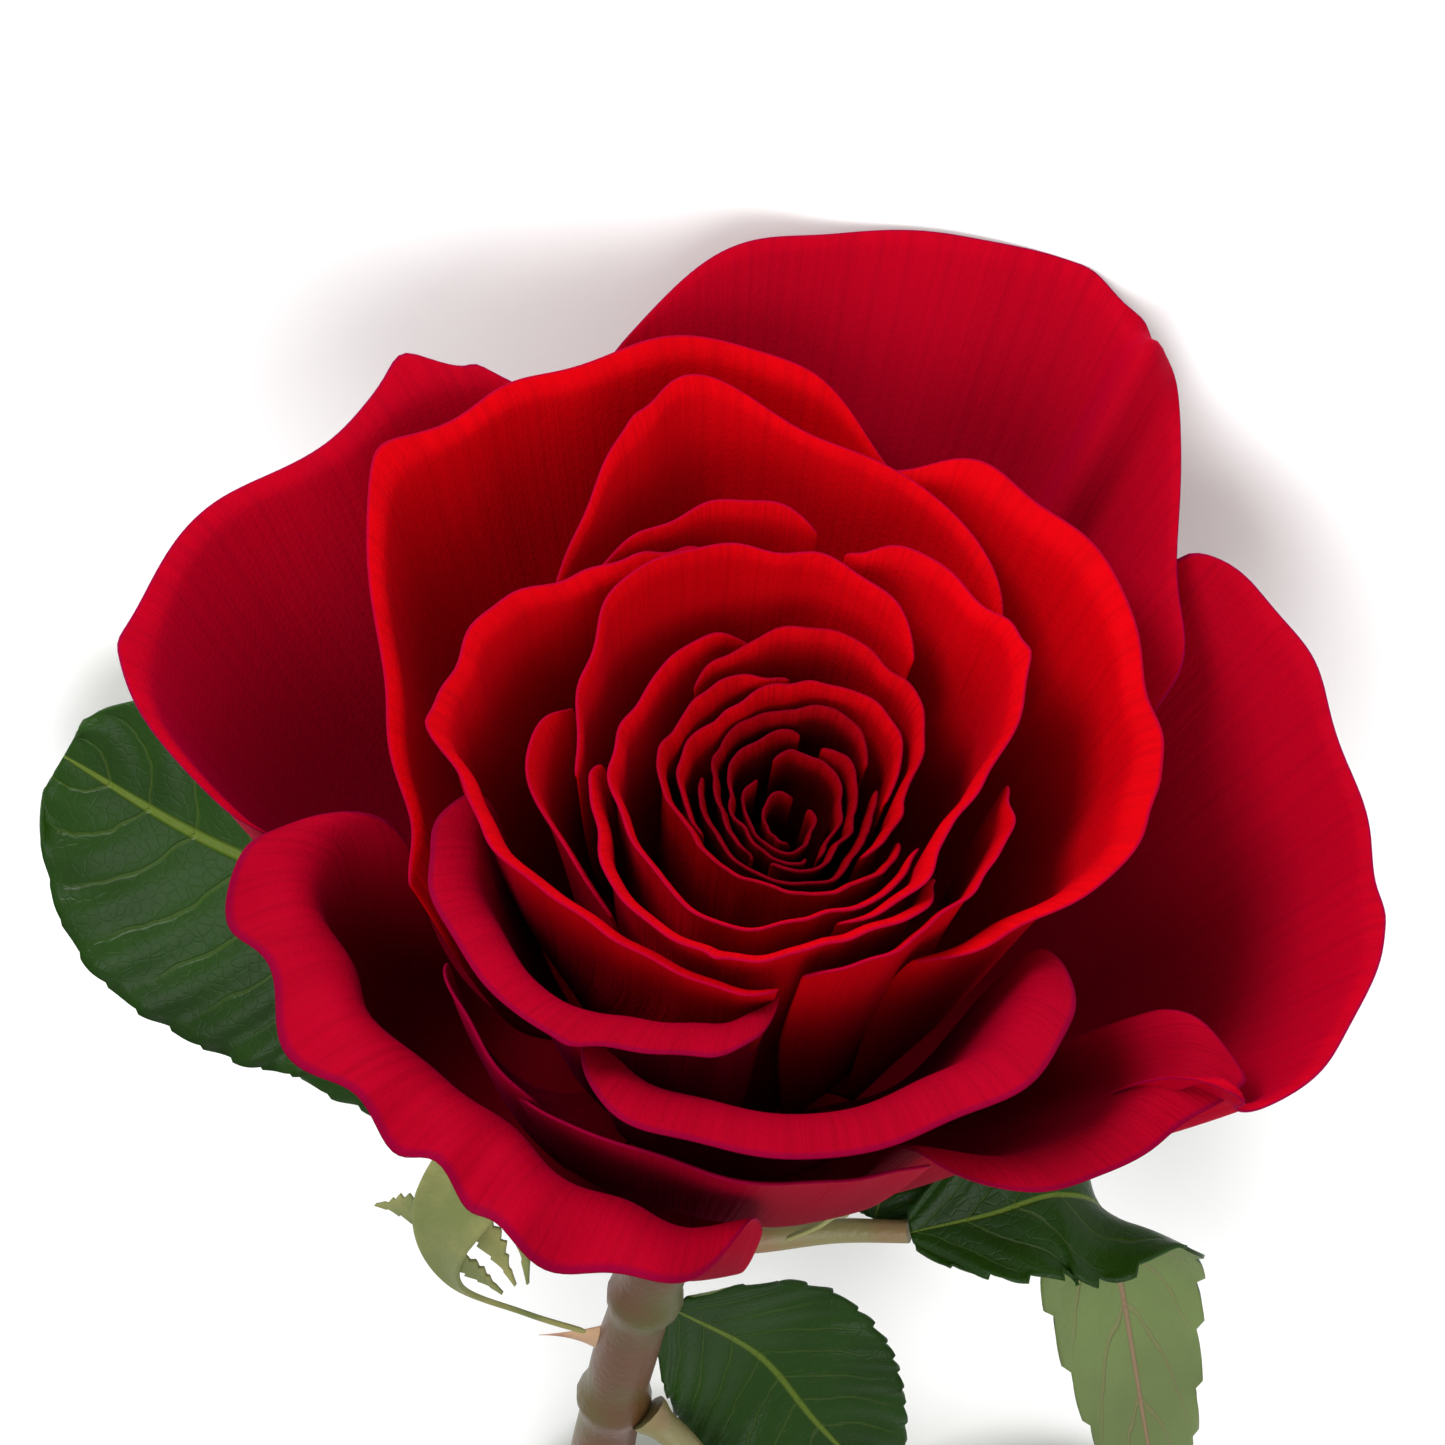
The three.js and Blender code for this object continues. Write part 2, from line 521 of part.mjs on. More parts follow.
// A leaflet along the points of `line`. `facing` rows are the way its upper
// face looks, spread evenly from its base to its tip.
function leafletPiece(name, { line, width, facing, cup = 0.12, cells = 7, blunt = 0.7 }) {
  const rib = new THREE.CatmullRomCurve3(line.map(bedPoint), false, 'catmullrom', 0.5);
  const look = curveThrough(facing.length > 1 ? facing : [facing[0], facing[0]]);
  const surface = (u, v) => {
    const point = rib.getPoint(v);
    const along = rib.getTangent(v);
    const side = new THREE.Vector3().crossVectors(along, look(v)).normalize();
    const face = new THREE.Vector3().crossVectors(side, along);
    const across = 2 * u - 1;
    const half = width / 2 * Math.max(0.03, Math.sin(Math.PI * (0.02 + 0.96 * v) ** 0.85) ** blunt);
    const fold = cup * half * Math.abs(across);
    return point.addScaledVector(side, across * half).addScaledVector(face, fold);
  };
  const sheet = bentSheet(surface, LEAF_THICKNESS, 4, cells);
  return mesh(name, sheet, finish(LEAF_GREEN, 0.45));
}

const sepals = SEPALS.map(sepalPiece);

const FLAT = [[0, -1, 0.1]];

const leaves = [
  stalkPiece('left_leaf_stalk', LEFT_LEAF_NODE,
    [[-7, 26, -41], [-13, 17, -44], [-19.6, 16.2, -37.5]], PETIOLE_WIDTH),
  leafletPiece('left_leaf_end', {
    line: [[-20, 14.5, -35.5], [-34, 14, -33], [-50, 13, -30.5], [-64, 10.5, -27.5]],
    width: LEAFLET_WIDTH, facing: [[0, -0.85, 0.53]], blunt: 0.5,
  }),
  leafletPiece('left_leaf_side_front', {
    line: [[-16.9, 15.7, -43.6], [-21, 12, -47], [-29, 7, -53], [-38, 4.5, -57], [-49, 2.4, -60]],
    width: LEAFLET_WIDTH * 0.6, facing: [[0, -0.95, 0.3]],
  }),
  leafletPiece('left_leaf_side_back', {
    line: [[-11.7, 17.2, -45.4], [-9.8, 12.5, -52], [-9.2, 7, -61], [-10, 3.5, -71], [-11.5, 2, -82]],
    width: LEAFLET_WIDTH * 0.32, facing: FLAT,
  }),
  stalkPiece('right_leaf_stalk', RIGHT_LEAF_NODE,
    [[6, 40.5, -27], [13, 39.6, -24.5], [19, 39.8, -22.2]], PETIOLE_WIDTH),
  leafletPiece('right_leaf_end', {
    line: [[19.6, 40, -21.8], [26, 38.4, -19], [31.6, 35.4, -18], [36.4, 32.5, -22.5],
      [40, 33.5, -31], [45.5, 37, -44], [50, 36, -58]],
    width: LEAFLET_WIDTH * 0.46,
    facing: [[0, -0.57, 0.82], [0, -0.57, 0.82], [0.7, -0.1, 0.7], [0.6, 0.5, -0.3],
      [0.1, 0.57, -0.82], [0, 0.57, -0.82], [0, 0.57, -0.82]],
    cells: 14,
  }),
  leafletPiece('right_leaf_side', {
    line: [[16.2, 37.6, -24.2], [17, 32.5, -20], [20, 27, -13.5], [27, 23, -11]],
    width: LEAFLET_WIDTH * 0.45, facing: [[0, -1, 0.4]],
  }),
  leafletPiece('lower_leaf', {
    line: [[1.3, 36, -45], [11, 28.5, -56], [18, 28, -64], [26, 26, -74]],
    width: LEAFLET_WIDTH * 0.56, facing: [[0.1, -0.8, 0.6]],
  }),
  stalkPiece('low_leaf_stalk', LOW_LEAF_NODE,
    [[5.5, 38.8, -60], [14, 39.5, -70], [26, 24, -92], [30.5, 5, -113]], PETIOLE_WIDTH),
  leafletPiece('low_leaf_end', {
    line: [[30.8, 4.5, -113.8], [37, 6, -130], [41, 4, -148], [42, 1.4, -168]],
    width: LEAFLET_WIDTH * 0.95, facing: FLAT,
  }),
  leafletPiece('low_leaf_side_right', {
    line: [[29.4, 12.75, -101.8], [38, 8, -98], [48, 5, -98], [62, 1.4, -100]],
    width: LEAFLET_WIDTH * 0.7, facing: FLAT,
  }),
  leafletPiece('low_leaf_side_left', {
    line: [[27.2, 12.35, -104.8], [16, 9, -108], [5, 5, -114], [-9, 1.4, -122]],
    width: LEAFLET_WIDTH * 0.7, facing: FLAT,
  }),
];

// ---- The whole flower ----------------------------------------------------

const plant = new THREE.Group();
plant.add(...petals, stem, ...sepals, ...leaves);

// Rows are where the plant's x, y and z axes point once it lies down.
const lying = new THREE.Matrix4().makeBasis(
  new THREE.Vector3(0, -1, 0),
  new THREE.Vector3(Math.sin(tilt), 0, -Math.cos(tilt)),
  new THREE.Vector3(Math.cos(tilt), 0, Math.sin(tilt)),
);
plant.applyMatrix4(lying);

const rose = new THREE.Group();
rose.add(plant);
rose.updateMatrixWorld(true);

// The origin is under the middle of the whole flower, on the surface.
const extent = new THREE.Box3().setFromObject(rose, true);
const middle = extent.getCenter(new THREE.Vector3());
rose.position.set(-middle.x, -middle.y, -extent.min.z);

export default rose;
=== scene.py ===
# %% [markdown]
# # A cut rose
# A large open rose bloom on its leafy stem, laid down on a pale surface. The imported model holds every
# petal, sepal and leaf as a thick plain sheet. Here each of them gets its fine shape and its finish,
# in the same place to within a few millimetres.

# %% Load the frame
import math

import bpy
import numpy as np
from mathutils import Matrix, Vector


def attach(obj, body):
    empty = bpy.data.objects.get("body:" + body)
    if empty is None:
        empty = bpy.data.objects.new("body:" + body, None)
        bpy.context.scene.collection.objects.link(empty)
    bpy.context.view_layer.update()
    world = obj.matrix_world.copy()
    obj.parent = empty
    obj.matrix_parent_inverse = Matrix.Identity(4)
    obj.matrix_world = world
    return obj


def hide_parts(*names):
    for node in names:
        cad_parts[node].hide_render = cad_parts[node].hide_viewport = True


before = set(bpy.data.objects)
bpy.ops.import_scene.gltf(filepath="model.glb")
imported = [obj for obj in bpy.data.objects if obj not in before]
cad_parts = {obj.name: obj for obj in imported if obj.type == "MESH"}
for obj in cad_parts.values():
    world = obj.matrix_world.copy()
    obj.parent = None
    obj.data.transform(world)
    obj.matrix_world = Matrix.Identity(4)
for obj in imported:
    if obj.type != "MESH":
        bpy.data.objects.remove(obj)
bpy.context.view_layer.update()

bpy.ops.object.select_all(action="DESELECT")
print("frame nodes:", len(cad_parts))

# %% [markdown]
# ## How the flower lies
# The flower is easiest to think about growing straight up: its origin is the top of the receptacle,
# where the petals are attached, with +Z up through the heart and angles round the bloom from +X. The
# plant is then tipped over until its back petal and the cut end of the stem touch the surface. This
# matrix does the tipping, so all the shapes below are drawn upright, in millimetres.

# %% Plant frame
MM = 0.001
HEART_HEIGHT = 42.0
TILT = math.radians(9.506)
PLANT_ORIGIN = Vector((98.705, -1.485, 46.145)) * MM
LYING = Matrix((
    (0, math.sin(TILT), math.cos(TILT)),
    (-1, 0, 0),
    (0, -math.cos(TILT), math.sin(TILT)),
))


def lay(points):
    """Plant points in millimetres, as rows, to places in the scene in metres."""
    turned = np.asarray(points, dtype=float) @ np.array(LYING).T * MM
    return turned + np.array(PLANT_ORIGIN)


def lay_direction(direction):
    return LYING @ Vector(direction)


def bed_depth(height):
    """The surface that the flower lies on, as the Y of the plant frame at a height."""
    return (PLANT_ORIGIN.z / MM + np.asarray(height) * math.sin(TILT)) / math.cos(TILT)


print("heart of the bloom at", tuple(round(c, 4) for c in lay([[0, 0, HEART_HEIGHT]])[0]))

# %% [markdown]
# ## Camera
# The camera looks into the bloom from in front and above, a long way off through a long lens, so that
# the petals are not stretched by perspective. The view is 120 mm wide at the heart of the bloom, and
# the heart sits a little right of its middle and below it, as shares of that width.

# %% Camera
VIEW_ELEVATION = math.radians(55)
VIEW_ROLL = math.radians(14)
VIEW_DISTANCE = 700.0
VIEW_WIDTH = 120.4167
SENSOR_WIDTH = 36
HEART_RIGHT_OF_CENTRE = 0.0467
HEART_BELOW_CENTRE = 0.0619

towards_camera = Vector((0, -math.cos(VIEW_ELEVATION), math.sin(VIEW_ELEVATION)))
level_up = Vector((0, math.sin(VIEW_ELEVATION), math.cos(VIEW_ELEVATION)))
level_right = Vector((1, 0, 0))
view_right = level_right * math.cos(VIEW_ROLL) + level_up * math.sin(VIEW_ROLL)
view_up = level_up * math.cos(VIEW_ROLL) - level_right * math.sin(VIEW_ROLL)
eye = Vector((0, 0, HEART_HEIGHT)) + towards_camera * VIEW_DISTANCE

bpy.ops.object.camera_add()
camera = bpy.context.object
camera.name = "camera"
axes = Matrix((lay_direction(view_right), lay_direction(view_up), lay_direction(towards_camera)))
place = axes.transposed().to_4x4()
place.translation = Vector(lay([eye])[0])
camera.matrix_world = place
camera.data.sensor_width = SENSOR_WIDTH
camera.data.lens = SENSOR_WIDTH * VIEW_DISTANCE / VIEW_WIDTH
camera.data.shift_x = -HEART_RIGHT_OF_CENTRE
camera.data.shift_y = HEART_BELOW_CENTRE
camera.data.clip_end = 10
bpy.context.scene.camera = camera
print("camera lens", round(camera.data.lens, 1))

# %% [markdown]
# ## Shaping a sheet
# Petals, sepals and leaves are all thin sheets. Each starts as a flat grid, and every grid point is
# moved to where a small formula puts it: across the sheet from 0 to 1, and along it from its base to
# its rim. Solidify then gives the sheet its thickness. On petals and sepals one level of subdivision
# also rounds the edge; leaves and the lobes of sepals stay crisp.

# %% Sheet helpers


def smooth_path(rows, t):
    """A smooth curve through rows of numbers, read at each t from 0 to 1."""
    rows = np.asarray(rows, dtype=float)
    ends = np.vstack([2 * rows[0] - rows[1], rows, 2 * rows[-1] - rows[-2]])
    place = np.clip(np.asarray(t, dtype=float), 0, 1) * (len(rows) - 1)
    first = np.minimum(place.astype(int), len(rows) - 2)
    w = (place - first)[..., None]
    p0, p1, p2, p3 = (ends[first + k] for k in range(4))
    pull0 = (p2 - p0) / 2
    pull1 = (p3 - p1) / 2
    bend = (2 * p1 - 2 * p2 + pull0 + pull1) * w ** 3
    sway = (-3 * p1 + 3 * p2 - 2 * pull0 - pull1) * w ** 2
    return bend + sway + pull0 * w + p1


def smooth_step(low, high, x):
    t = np.clip((x - low) / (high - low), 0, 1)
    return t * t * (3 - 2 * t)


def bump(x, centre, half_width):
    return np.exp(-(((x - centre) / half_width) ** 2))


def polar(angle, radius, height):
    a = np.radians(angle)
    return np.stack([radius * np.cos(a), radius * np.sin(a), height + 0 * a], axis=-1)


def grid_sheet(name, surface, across, along):
    """A grid of across x along faces with its points at surface(u, v), and a UV map of u and v."""
    bpy.ops.mesh.primitive_grid_add(
        x_subdivisions=across, y_subdivisions=along, size=1, calc_uvs=True
    )
    sheet = bpy.context.object
    sheet.name = name
    mesh = sheet.data
    mesh.name = name
    flat = np.empty(len(mesh.vertices) * 3)
    mesh.vertices.foreach_get("co", flat)
    flat = flat.reshape(-1, 3)
    mesh.vertices.foreach_set("co", lay(surface(flat[:, 0] + 0.5, flat[:, 1] + 0.5)).ravel())
    mesh.update()
    return sheet


def finish_sheet(sheet, thickness, rounding=1):
    """Thickness, a rounded edge and smooth shading."""
    bpy.context.view_layer.objects.active = sheet
    wall = sheet.modifiers.new("wall", "SOLIDIFY")
    wall.thickness = thickness * MM
    wall.offset = 0
    bpy.ops.object.modifier_apply(modifier="wall")
    if rounding:
        soften = sheet.modifiers.new("soften", "SUBSURF")
        soften.levels = rounding
        soften.render_levels = rounding
        bpy.ops.object.modifier_apply(modifier="soften")
    bpy.ops.object.shade_smooth()


def settle(piece, material, slot, *nodes):
    """The piece's finish, the body it rides on and the plain nodes that it stands for."""
    piece.data.materials.clear()
    piece.data.materials.append(material)
    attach(piece, "root")
    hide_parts(*nodes)
    piece.select_set(False)


# %% [markdown]
# ## Light and floor
# One soft light stands up and to the left of the camera, a weaker one to its right and a third almost
# straight above the flower. The rest comes from a white surround, so the shadows between the petals
# stay soft and go to deep red. Distances and sizes are in metres.

# %% Light and floor
scene = bpy.context.scene
scene.view_settings.view_transform = "Standard"
scene.view_settings.look = "None"
WHITE = (1.0, 1.0, 1.0)
SURROUND_STRENGTH = 0.8
FLOOR_SIZE = 6


def area_light(name, towards, distance, size, watts):
    """A square soft light on the side of the heart that `towards` points to."""
    heart = Vector(lay([[0, 0, HEART_HEIGHT]])[0])
    way = lay_direction(towards).normalized()
    bpy.ops.object.light_add(type="AREA", location=heart + way * distance)
    lamp = bpy.context.object
    lamp.name = name
    lamp.data.shape = "SQUARE"
    lamp.data.size = size
    lamp.data.energy = watts
    lamp.rotation_euler = way.to_track_quat("Z", "Y").to_euler()


key_way = towards_camera - view_right * 0.62 + view_up * 0.75
fill_way = towards_camera * 0.7 + view_right * 0.9 - view_up * 0.1
top_way = (0.1, -0.95, 0.3)
area_light("key_light", key_way, distance=1.1, size=0.4, watts=12)
area_light("fill_light", fill_way, distance=1.3, size=0.8, watts=3)
area_light("top_light", top_way, distance=0.9, size=0.6, watts=5)

world = bpy.data.worlds.new("white_surround")
world.use_nodes = True
world.node_tree.nodes["Background"].inputs["Color"].default_value = (*WHITE, 1)
world.node_tree.nodes["Background"].inputs["Strength"].default_value = SURROUND_STRENGTH
scene.world = world

bpy.ops.mesh.primitive_plane_add(size=FLOOR_SIZE)
floor = bpy.context.object
floor.name = "floor"
paper = bpy.data.materials.new("pale_paper")
paper.use_nodes = True
paper_shader = paper.node_tree.nodes["Principled BSDF"]
paper_shader.inputs["Base Color"].default_value = (0.93, 0.93, 0.93, 1)
paper_shader.inputs["Roughness"].default_value = 0.9
floor.data.materials.append(paper)
floor.select_set(False)

# %% [markdown]
# ## Tools for the finishes
# A finish is a Principled shader with a few mixed colours. These helpers keep the node set-up short:
# `mix` blends two colours by a mask, and `ramp` turns a value into a mask between two limits. In a mix
# node the sockets 6 and 7 and the output 2 are the ones that carry colours.

# %% Finish helpers


def node(tree, kind, **values):
    made = tree.nodes.new(kind)
    for key, value in values.items():
        setattr(made, key, value)
    return made


def plug(tree, socket, value):
    """A value or another node's output into a socket."""
    if isinstance(value, bpy.types.NodeSocket):
        tree.links.new(value, socket)
    elif isinstance(value, tuple) and len(value) == 3 and socket.type == "RGBA":
        socket.default_value = (*value, 1)
    else:
        socket.default_value = value


def math_node(tree, operation, a, b=0.0):
    made = node(tree, "ShaderNodeMath", operation=operation)
    plug(tree, made.inputs[0], a)
    plug(tree, made.inputs[1], b)
    return made.outputs[0]


def ramp(tree, value, low, high, to_low=0.0, to_high=1.0):
    """A smooth mask that goes from to_low to to_high as the value passes from low to high."""
    made = node(tree, "ShaderNodeMapRange", interpolation_type="SMOOTHSTEP")
    for socket, number in zip(made.inputs[:5], (value, low, high, to_low, to_high)):
        plug(tree, socket, number)
    return made.outputs["Result"]


def mix(tree, mask, below, above):
    made = node(tree, "ShaderNodeMix", data_type="RGBA")
    plug(tree, made.inputs["Factor"], mask)
    plug(tree, made.inputs[6], below)
    plug(tree, made.inputs[7], above)
    return made.outputs[2]


def noise(tree, vector, scale, detail=3.0, roughness=0.5):
    made = node(tree, "ShaderNodeTexNoise")
    plug(tree, made.inputs["Vector"], vector)
    plug(tree, made.inputs["Scale"], scale)
    plug(tree, made.inputs["Detail"], detail)
    plug(tree, made.inputs["Roughness"], roughness)
    return made.outputs["Fac"]


def bumped(tree, height, strength, depth_mm):
    made = node(tree, "ShaderNodeBump")
    plug(tree, made.inputs["Height"], height)
    plug(tree, made.inputs["Strength"], strength)
    plug(tree, made.inputs["Distance"], depth_mm * MM)
    return made.outputs["Normal"]


def sheet_place(tree):
    """The place on a sheet: across (0 to 1) and along (0 at its base, 1 at its rim)."""
    at = node(tree, "ShaderNodeUVMap", uv_map="UVMap")
    parts = node(tree, "ShaderNodeSeparateXYZ")
    tree.links.new(at.outputs["UV"], parts.inputs[0])
    return parts.outputs["X"], parts.outputs["Y"]


def stretched(tree, across, along, across_scale, along_scale):
    made = node(tree, "ShaderNodeCombineXYZ")
    plug(tree, made.inputs[0], math_node(tree, "MULTIPLY", across, across_scale))
    plug(tree, made.inputs[1], math_node(tree, "MULTIPLY", along, along_scale))
    return made.outputs[0]


def in_space(tree):
    return node(tree, "ShaderNodeTexCoord").outputs["Object"]


def shared_group(name, **outputs):
    """An empty node group with the given outputs, each of the kind value or vector."""
    group = bpy.data.node_groups.new(name, "ShaderNodeTree")
    kinds = {"value": "NodeSocketFloat", "vector": "NodeSocketVector"}
    for title, kind in outputs.items():
        group.interface.new_socket(title, in_out="OUTPUT", socket_type=kinds[kind])
    return group, node(group, "NodeGroupOutput")


def use_group(tree, group):
    made = node(tree, "ShaderNodeGroup")
    made.node_tree = group
    return made.outputs


def new_finish(name, **constants):
    """A Principled material; the constants go straight onto the shader's own sockets."""
    material = bpy.data.materials.new(name)
    material.use_nodes = True
    shader = material.node_tree.nodes["Principled BSDF"]
    for key, value in constants.items():
        plug(material.node_tree, shader.inputs[key.replace("_", " ")], value)
    return material, material.node_tree, shader


print("finish helpers ready")

# %% [markdown]
# ## Petal finish
# A rose petal is velvety: its surface is covered with tiny cones that catch a crimson sheen where it
# turns away, and light that goes into the thin flesh comes out redder. Faint veins fan lengthwise and
# the rim ends in a thin purple line. Below the rim the colour is darkened down towards the petal's
# base as painted shade for the shadow inside the bowl, and the petals nearest the heart get darker
# colours still, as painted shade.

# %% Petal finish
petal_marks, marks_out = shared_group(
    "petal_marks", rim="value", along="value", veins="value", tone="value", normal="vector"
)
across, along = sheet_place(petal_marks)
fine_veins = noise(petal_marks, stretched(petal_marks, across, along, 90, 1.3), 1.0, 3, 0.55)
broad_veins = noise(petal_marks, stretched(petal_marks, across, along, 9, 1.1), 1.0, 2)
down = noise(petal_marks, in_space(petal_marks), 2600, 1)
plug(petal_marks, marks_out.inputs["rim"], ramp(petal_marks, along, 0.975, 0.997))
plug(petal_marks, marks_out.inputs["along"], along)
plug(petal_marks, marks_out.inputs["veins"], ramp(petal_marks, fine_veins, 0.4, 0.7))
plug(petal_marks, marks_out.inputs["tone"], noise(petal_marks, in_space(petal_marks), 45, 2))
relief = math_node(petal_marks, "ADD", math_node(petal_marks, "MULTIPLY", down, 0.3), fine_veins)
relief = math_node(petal_marks, "ADD", relief, math_node(petal_marks, "MULTIPLY", broad_veins, 1.5))
plug(petal_marks, marks_out.inputs["normal"], bumped(petal_marks, relief, 0.5, 0.35))


def petal_finish(name, bright, deep, rim_line, sheen, shade_fade):
    """Where along the petal its painted shade, a darkening down towards the base, begins and is darkest."""
    material, tree, shader = new_finish(
        name, Roughness=0.7, IOR=1.4, Specular_IOR_Level=0.02, Sheen_Weight=sheen,
        Sheen_Roughness=0.5, Sheen_Tint=(0.7, 0.0, 0.2), Subsurface_Weight=0.08,
        Subsurface_Radius=(1.0, 0.03, 0.03), Subsurface_Scale=0.0008,
    )
    marks = use_group(tree, petal_marks)
    colour = mix(tree, ramp(tree, marks["tone"], 0.3, 0.75, 0.0, 0.25), bright, deep)
    colour = mix(tree, math_node(tree, "MULTIPLY", marks["veins"], 0.28), colour, deep)
    # Painted shade: darker from just below the rim down to the petal's base, where the bowl is in shadow.
    colour = mix(tree, ramp(tree, marks["along"], *shade_fade), colour, deep)
    colour = mix(tree, math_node(tree, "MULTIPLY", marks["rim"], 0.7), colour, rim_line)
    plug(tree, shader.inputs["Base Color"], colour)
    plug(tree, shader.inputs["Normal"], marks["normal"])
    return material


petal_outer = petal_finish(
    "petal_outer", (0.32, 0.0, 0.007), (0.16, 0.0, 0.006), (0.14, 0.0, 0.03), 0.12, (0.92, 0.4))
petal_folded = petal_finish(
    "petal_folded", (0.25, 0.0, 0.009), (0.13, 0.0, 0.004), (0.12, 0.0, 0.02), 0.05, (0.93, 0.5))
petal_inner = petal_finish(
    "petal_inner", (0.42, 0.0, 0.002), (0.20, 0.0, 0.002), (0.20, 0.0, 0.02), 0.02, (0.93, 0.4))
# The heart petals get a darker red and the innermost ones a near-black one: painted shade for the deep
# heart of the bloom, which the light hardly reaches.
petal_heart_painted_shade = petal_finish(
    "petal_heart_painted_shade", (0.34, 0.0, 0.002), (0.10, 0.0, 0.001), (0.16, 0.0, 0.012), 0.0, (0.97, 0.6))
petal_pit_painted_shade = petal_finish(
    "petal_pit_painted_shade", (0.20, 0.0, 0.002), (0.02, 0.0, 0.0), (0.10, 0.0, 0.006), 0.0, (0.98, 0.75))
print("petal finishes:", [m.name for m in (petal_outer, petal_folded, petal_inner, petal_heart_painted_shade, petal_pit_painted_shade)])

# %% [markdown]
# ## Petals
# Each petal is a claw on the receptacle that opens into a bowl and ends at a rim. A rim row is an angle
# round the bloom, a radius and a height. The lean is how far the petal tips outward just below its rim
# and the roll is how much further the rim itself turns outward, all in degrees. `curl` rolls the rim
# tighter round one place, `crease` presses a lengthwise fold into the petal and `point` pulls the rim
# out to a tip; each is given by its place across the petal, a half width and an amount. `open` is
# how far up the petal reaches its full spread, `claw` turns its foot to an angle of its own, `ripple`
# is the size of its slow waves and `frill` that of the quick ones at the rim. The list runs from the
# outside in.

# %% Petal table
PETALS = []


def petal(name, lean, roll, rim, claw=None, curl=(), crease=(), point=(), ripple=0.8, frill=0, open=0.7):
    # The angles go on past 360, so that a rim may cross the +X direction.
    turned = 0
    rows = []
    for angle, radius, height in rim:
        if rows and angle + turned < rows[-1][0]:
            turned += 360
        rows.append((angle + turned, radius, height))
    middle = (rows[0][0] + rows[-1][0]) / 2 if claw is None else claw
    PETALS.append(dict(
        name=name, lean=lean, roll=roll, rim=rows, claw=middle, curl=curl, crease=crease,
        point=point, ripple=ripple, frill=frill, open=open,
    ))


petal("outer_petal_left", lean=(38, 30), roll=45,
      point=[(0.04, 0.02, 3.0), (0.09, 0.015, 2.5), (0.175, 0.03, 3.5), (0.62, 0.05, 1.5)], open=0.5, rim=[
    (130, 46.5, 46), (138, 51, 45), (150, 51.5, 42.5), (162, 56, 40), (174, 56.5, 38.5),
    (184, 54.5, 38), (190, 47, 34), (192, 40.5, 31)])
petal("outer_petal_right", lean=(30, 36), roll=25,
      curl=[(0.06, 0.07, 170)], point=[(0.47, 0.05, 1.2)], open=0.5, rim=[
    (342, 40, 30), (346, 45, 31), (354, 48.5, 34), (6, 51, 36.5), (18, 51.5, 38), (32, 49.5, 40),
    (44, 49, 41), (55, 47, 43)])
petal("outer_petal_front_left", lean=(10, 10), roll=115, claw=226, ripple=1.5, frill=1.7, open=0.25, rim=[
    (188, 39, 34), (194, 44, 33), (204, 46.5, 32), (216, 46, 32), (230, 43, 31), (244, 41, 31),
    (258, 42, 31), (270, 42.5, 30), (282, 40, 30)])
petal("outer_petal_back", lean=(42, 40), roll=20,
      curl=[(0.33, 0.04, 110)], crease=[(0.31, 0.05, 1.8)],
      point=[(0.37, 0.02, 1.6), (0.45, 0.015, 0.6)], open=0.5, rim=[
    (40, 39, 38), (52, 45, 43), (64, 52.6, 49), (74, 56.2, 52), (86, 54.6, 53), (98, 55.2, 52),
    (110, 52, 51), (124, 46.5, 46)])
petal("outer_petal_front_right", lean=(22, 44), roll=70, claw=332, open=0.25,
      point=[(0.85, 0.05, 1.5)], rim=[
    (304, 32.5, 33.5), (314, 35, 32.5), (326, 37.5, 31), (338, 39.8, 31), (347, 42, 32),
    (354, 41.4, 34)])
petal("outer_petal_front", lean=(20, 20), roll=15, claw=275, open=0.12, rim=[
    (238, 32, 32), (250, 32.6, 34), (262, 31.8, 35), (275, 31.9, 35.5), (288, 32.5, 35.5), (298, 32, 35),
    (308, 31, 33)])
petal("middle_petal_sliver", lean=(15, 15), roll=5, claw=218, open=0.3, rim=[
    (214, 30, 34), (224, 31, 34.5), (234, 31.6, 34), (243, 31, 32)])
petal("middle_petal_left", lean=(22, 22), roll=50, open=0.5, point=[(0.56, 0.03, 1.4)], rim=[
    (86, 36.5, 46), (96, 40, 48.5), (106, 41.5, 49.5), (118, 43.5, 50), (130, 44, 49),
    (140, 45.5, 49), (150, 45.5, 47.5), (160, 42, 46), (172, 37.2, 44.5), (184, 34.8, 43.5),
    (196, 33.2, 42), (206, 33.2, 39)])
petal("middle_petal_front", lean=(22, 22), roll=75, claw=303, open=0.15, rim=[
    (244, 32.2, 39.5), (252, 32.8, 40.5), (262, 33, 40.5), (274, 33.2, 40.5), (288, 33.3, 40.5),
    (302, 32.5, 41), (316, 31.2, 41), (330, 30, 40.5), (342, 29, 39), (352, 28.2, 37)])
petal("middle_petal_right", lean=(22, 22), roll=55, claw=400, open=0.5, point=[(0.4, 0.03, 1.2)], rim=[
    (322, 19, 41), (340, 22, 43), (354, 25.6, 44.5), (8, 28.5, 45.5), (22, 31, 46.5), (36, 33.5, 47),
    (50, 34.5, 48.5), (66, 35, 49), (80, 35.5, 49), (90, 34.4, 48.5)])
petal("middle_petal_front_left", lean=(20, 20), roll=70, claw=245, open=0.35,
      point=[(0.55, 0.03, 1.6)], rim=[
    (193, 30, 43), (204, 31.1, 44), (214, 31.6, 44), (226, 32.8, 44.5), (238, 33.6, 44.5),
    (247, 31.2, 44.5), (257, 29, 44.5), (266, 27, 44), (273, 24.5, 43.5), (279, 21.5, 42)])
petal("middle_petal_back", lean=(20, 20), roll=35, claw=78, point=[(0.66, 0.03, 1.4)], rim=[
    (58, 25.4, 46), (66, 27.7, 48), (80, 31.5, 49), (94, 33, 50), (106, 35.5, 51), (118, 37, 52),
    (126, 34.8, 51), (134, 32.5, 50), (142, 30.4, 48.5), (150, 28, 47)])
petal("middle_petal_back_inner", lean=(18, 18), roll=15, claw=118, rim=[
    (98, 24.8, 49), (110, 25.4, 50), (122, 26, 50.5), (134, 26.2, 50), (145, 26, 48.5)])
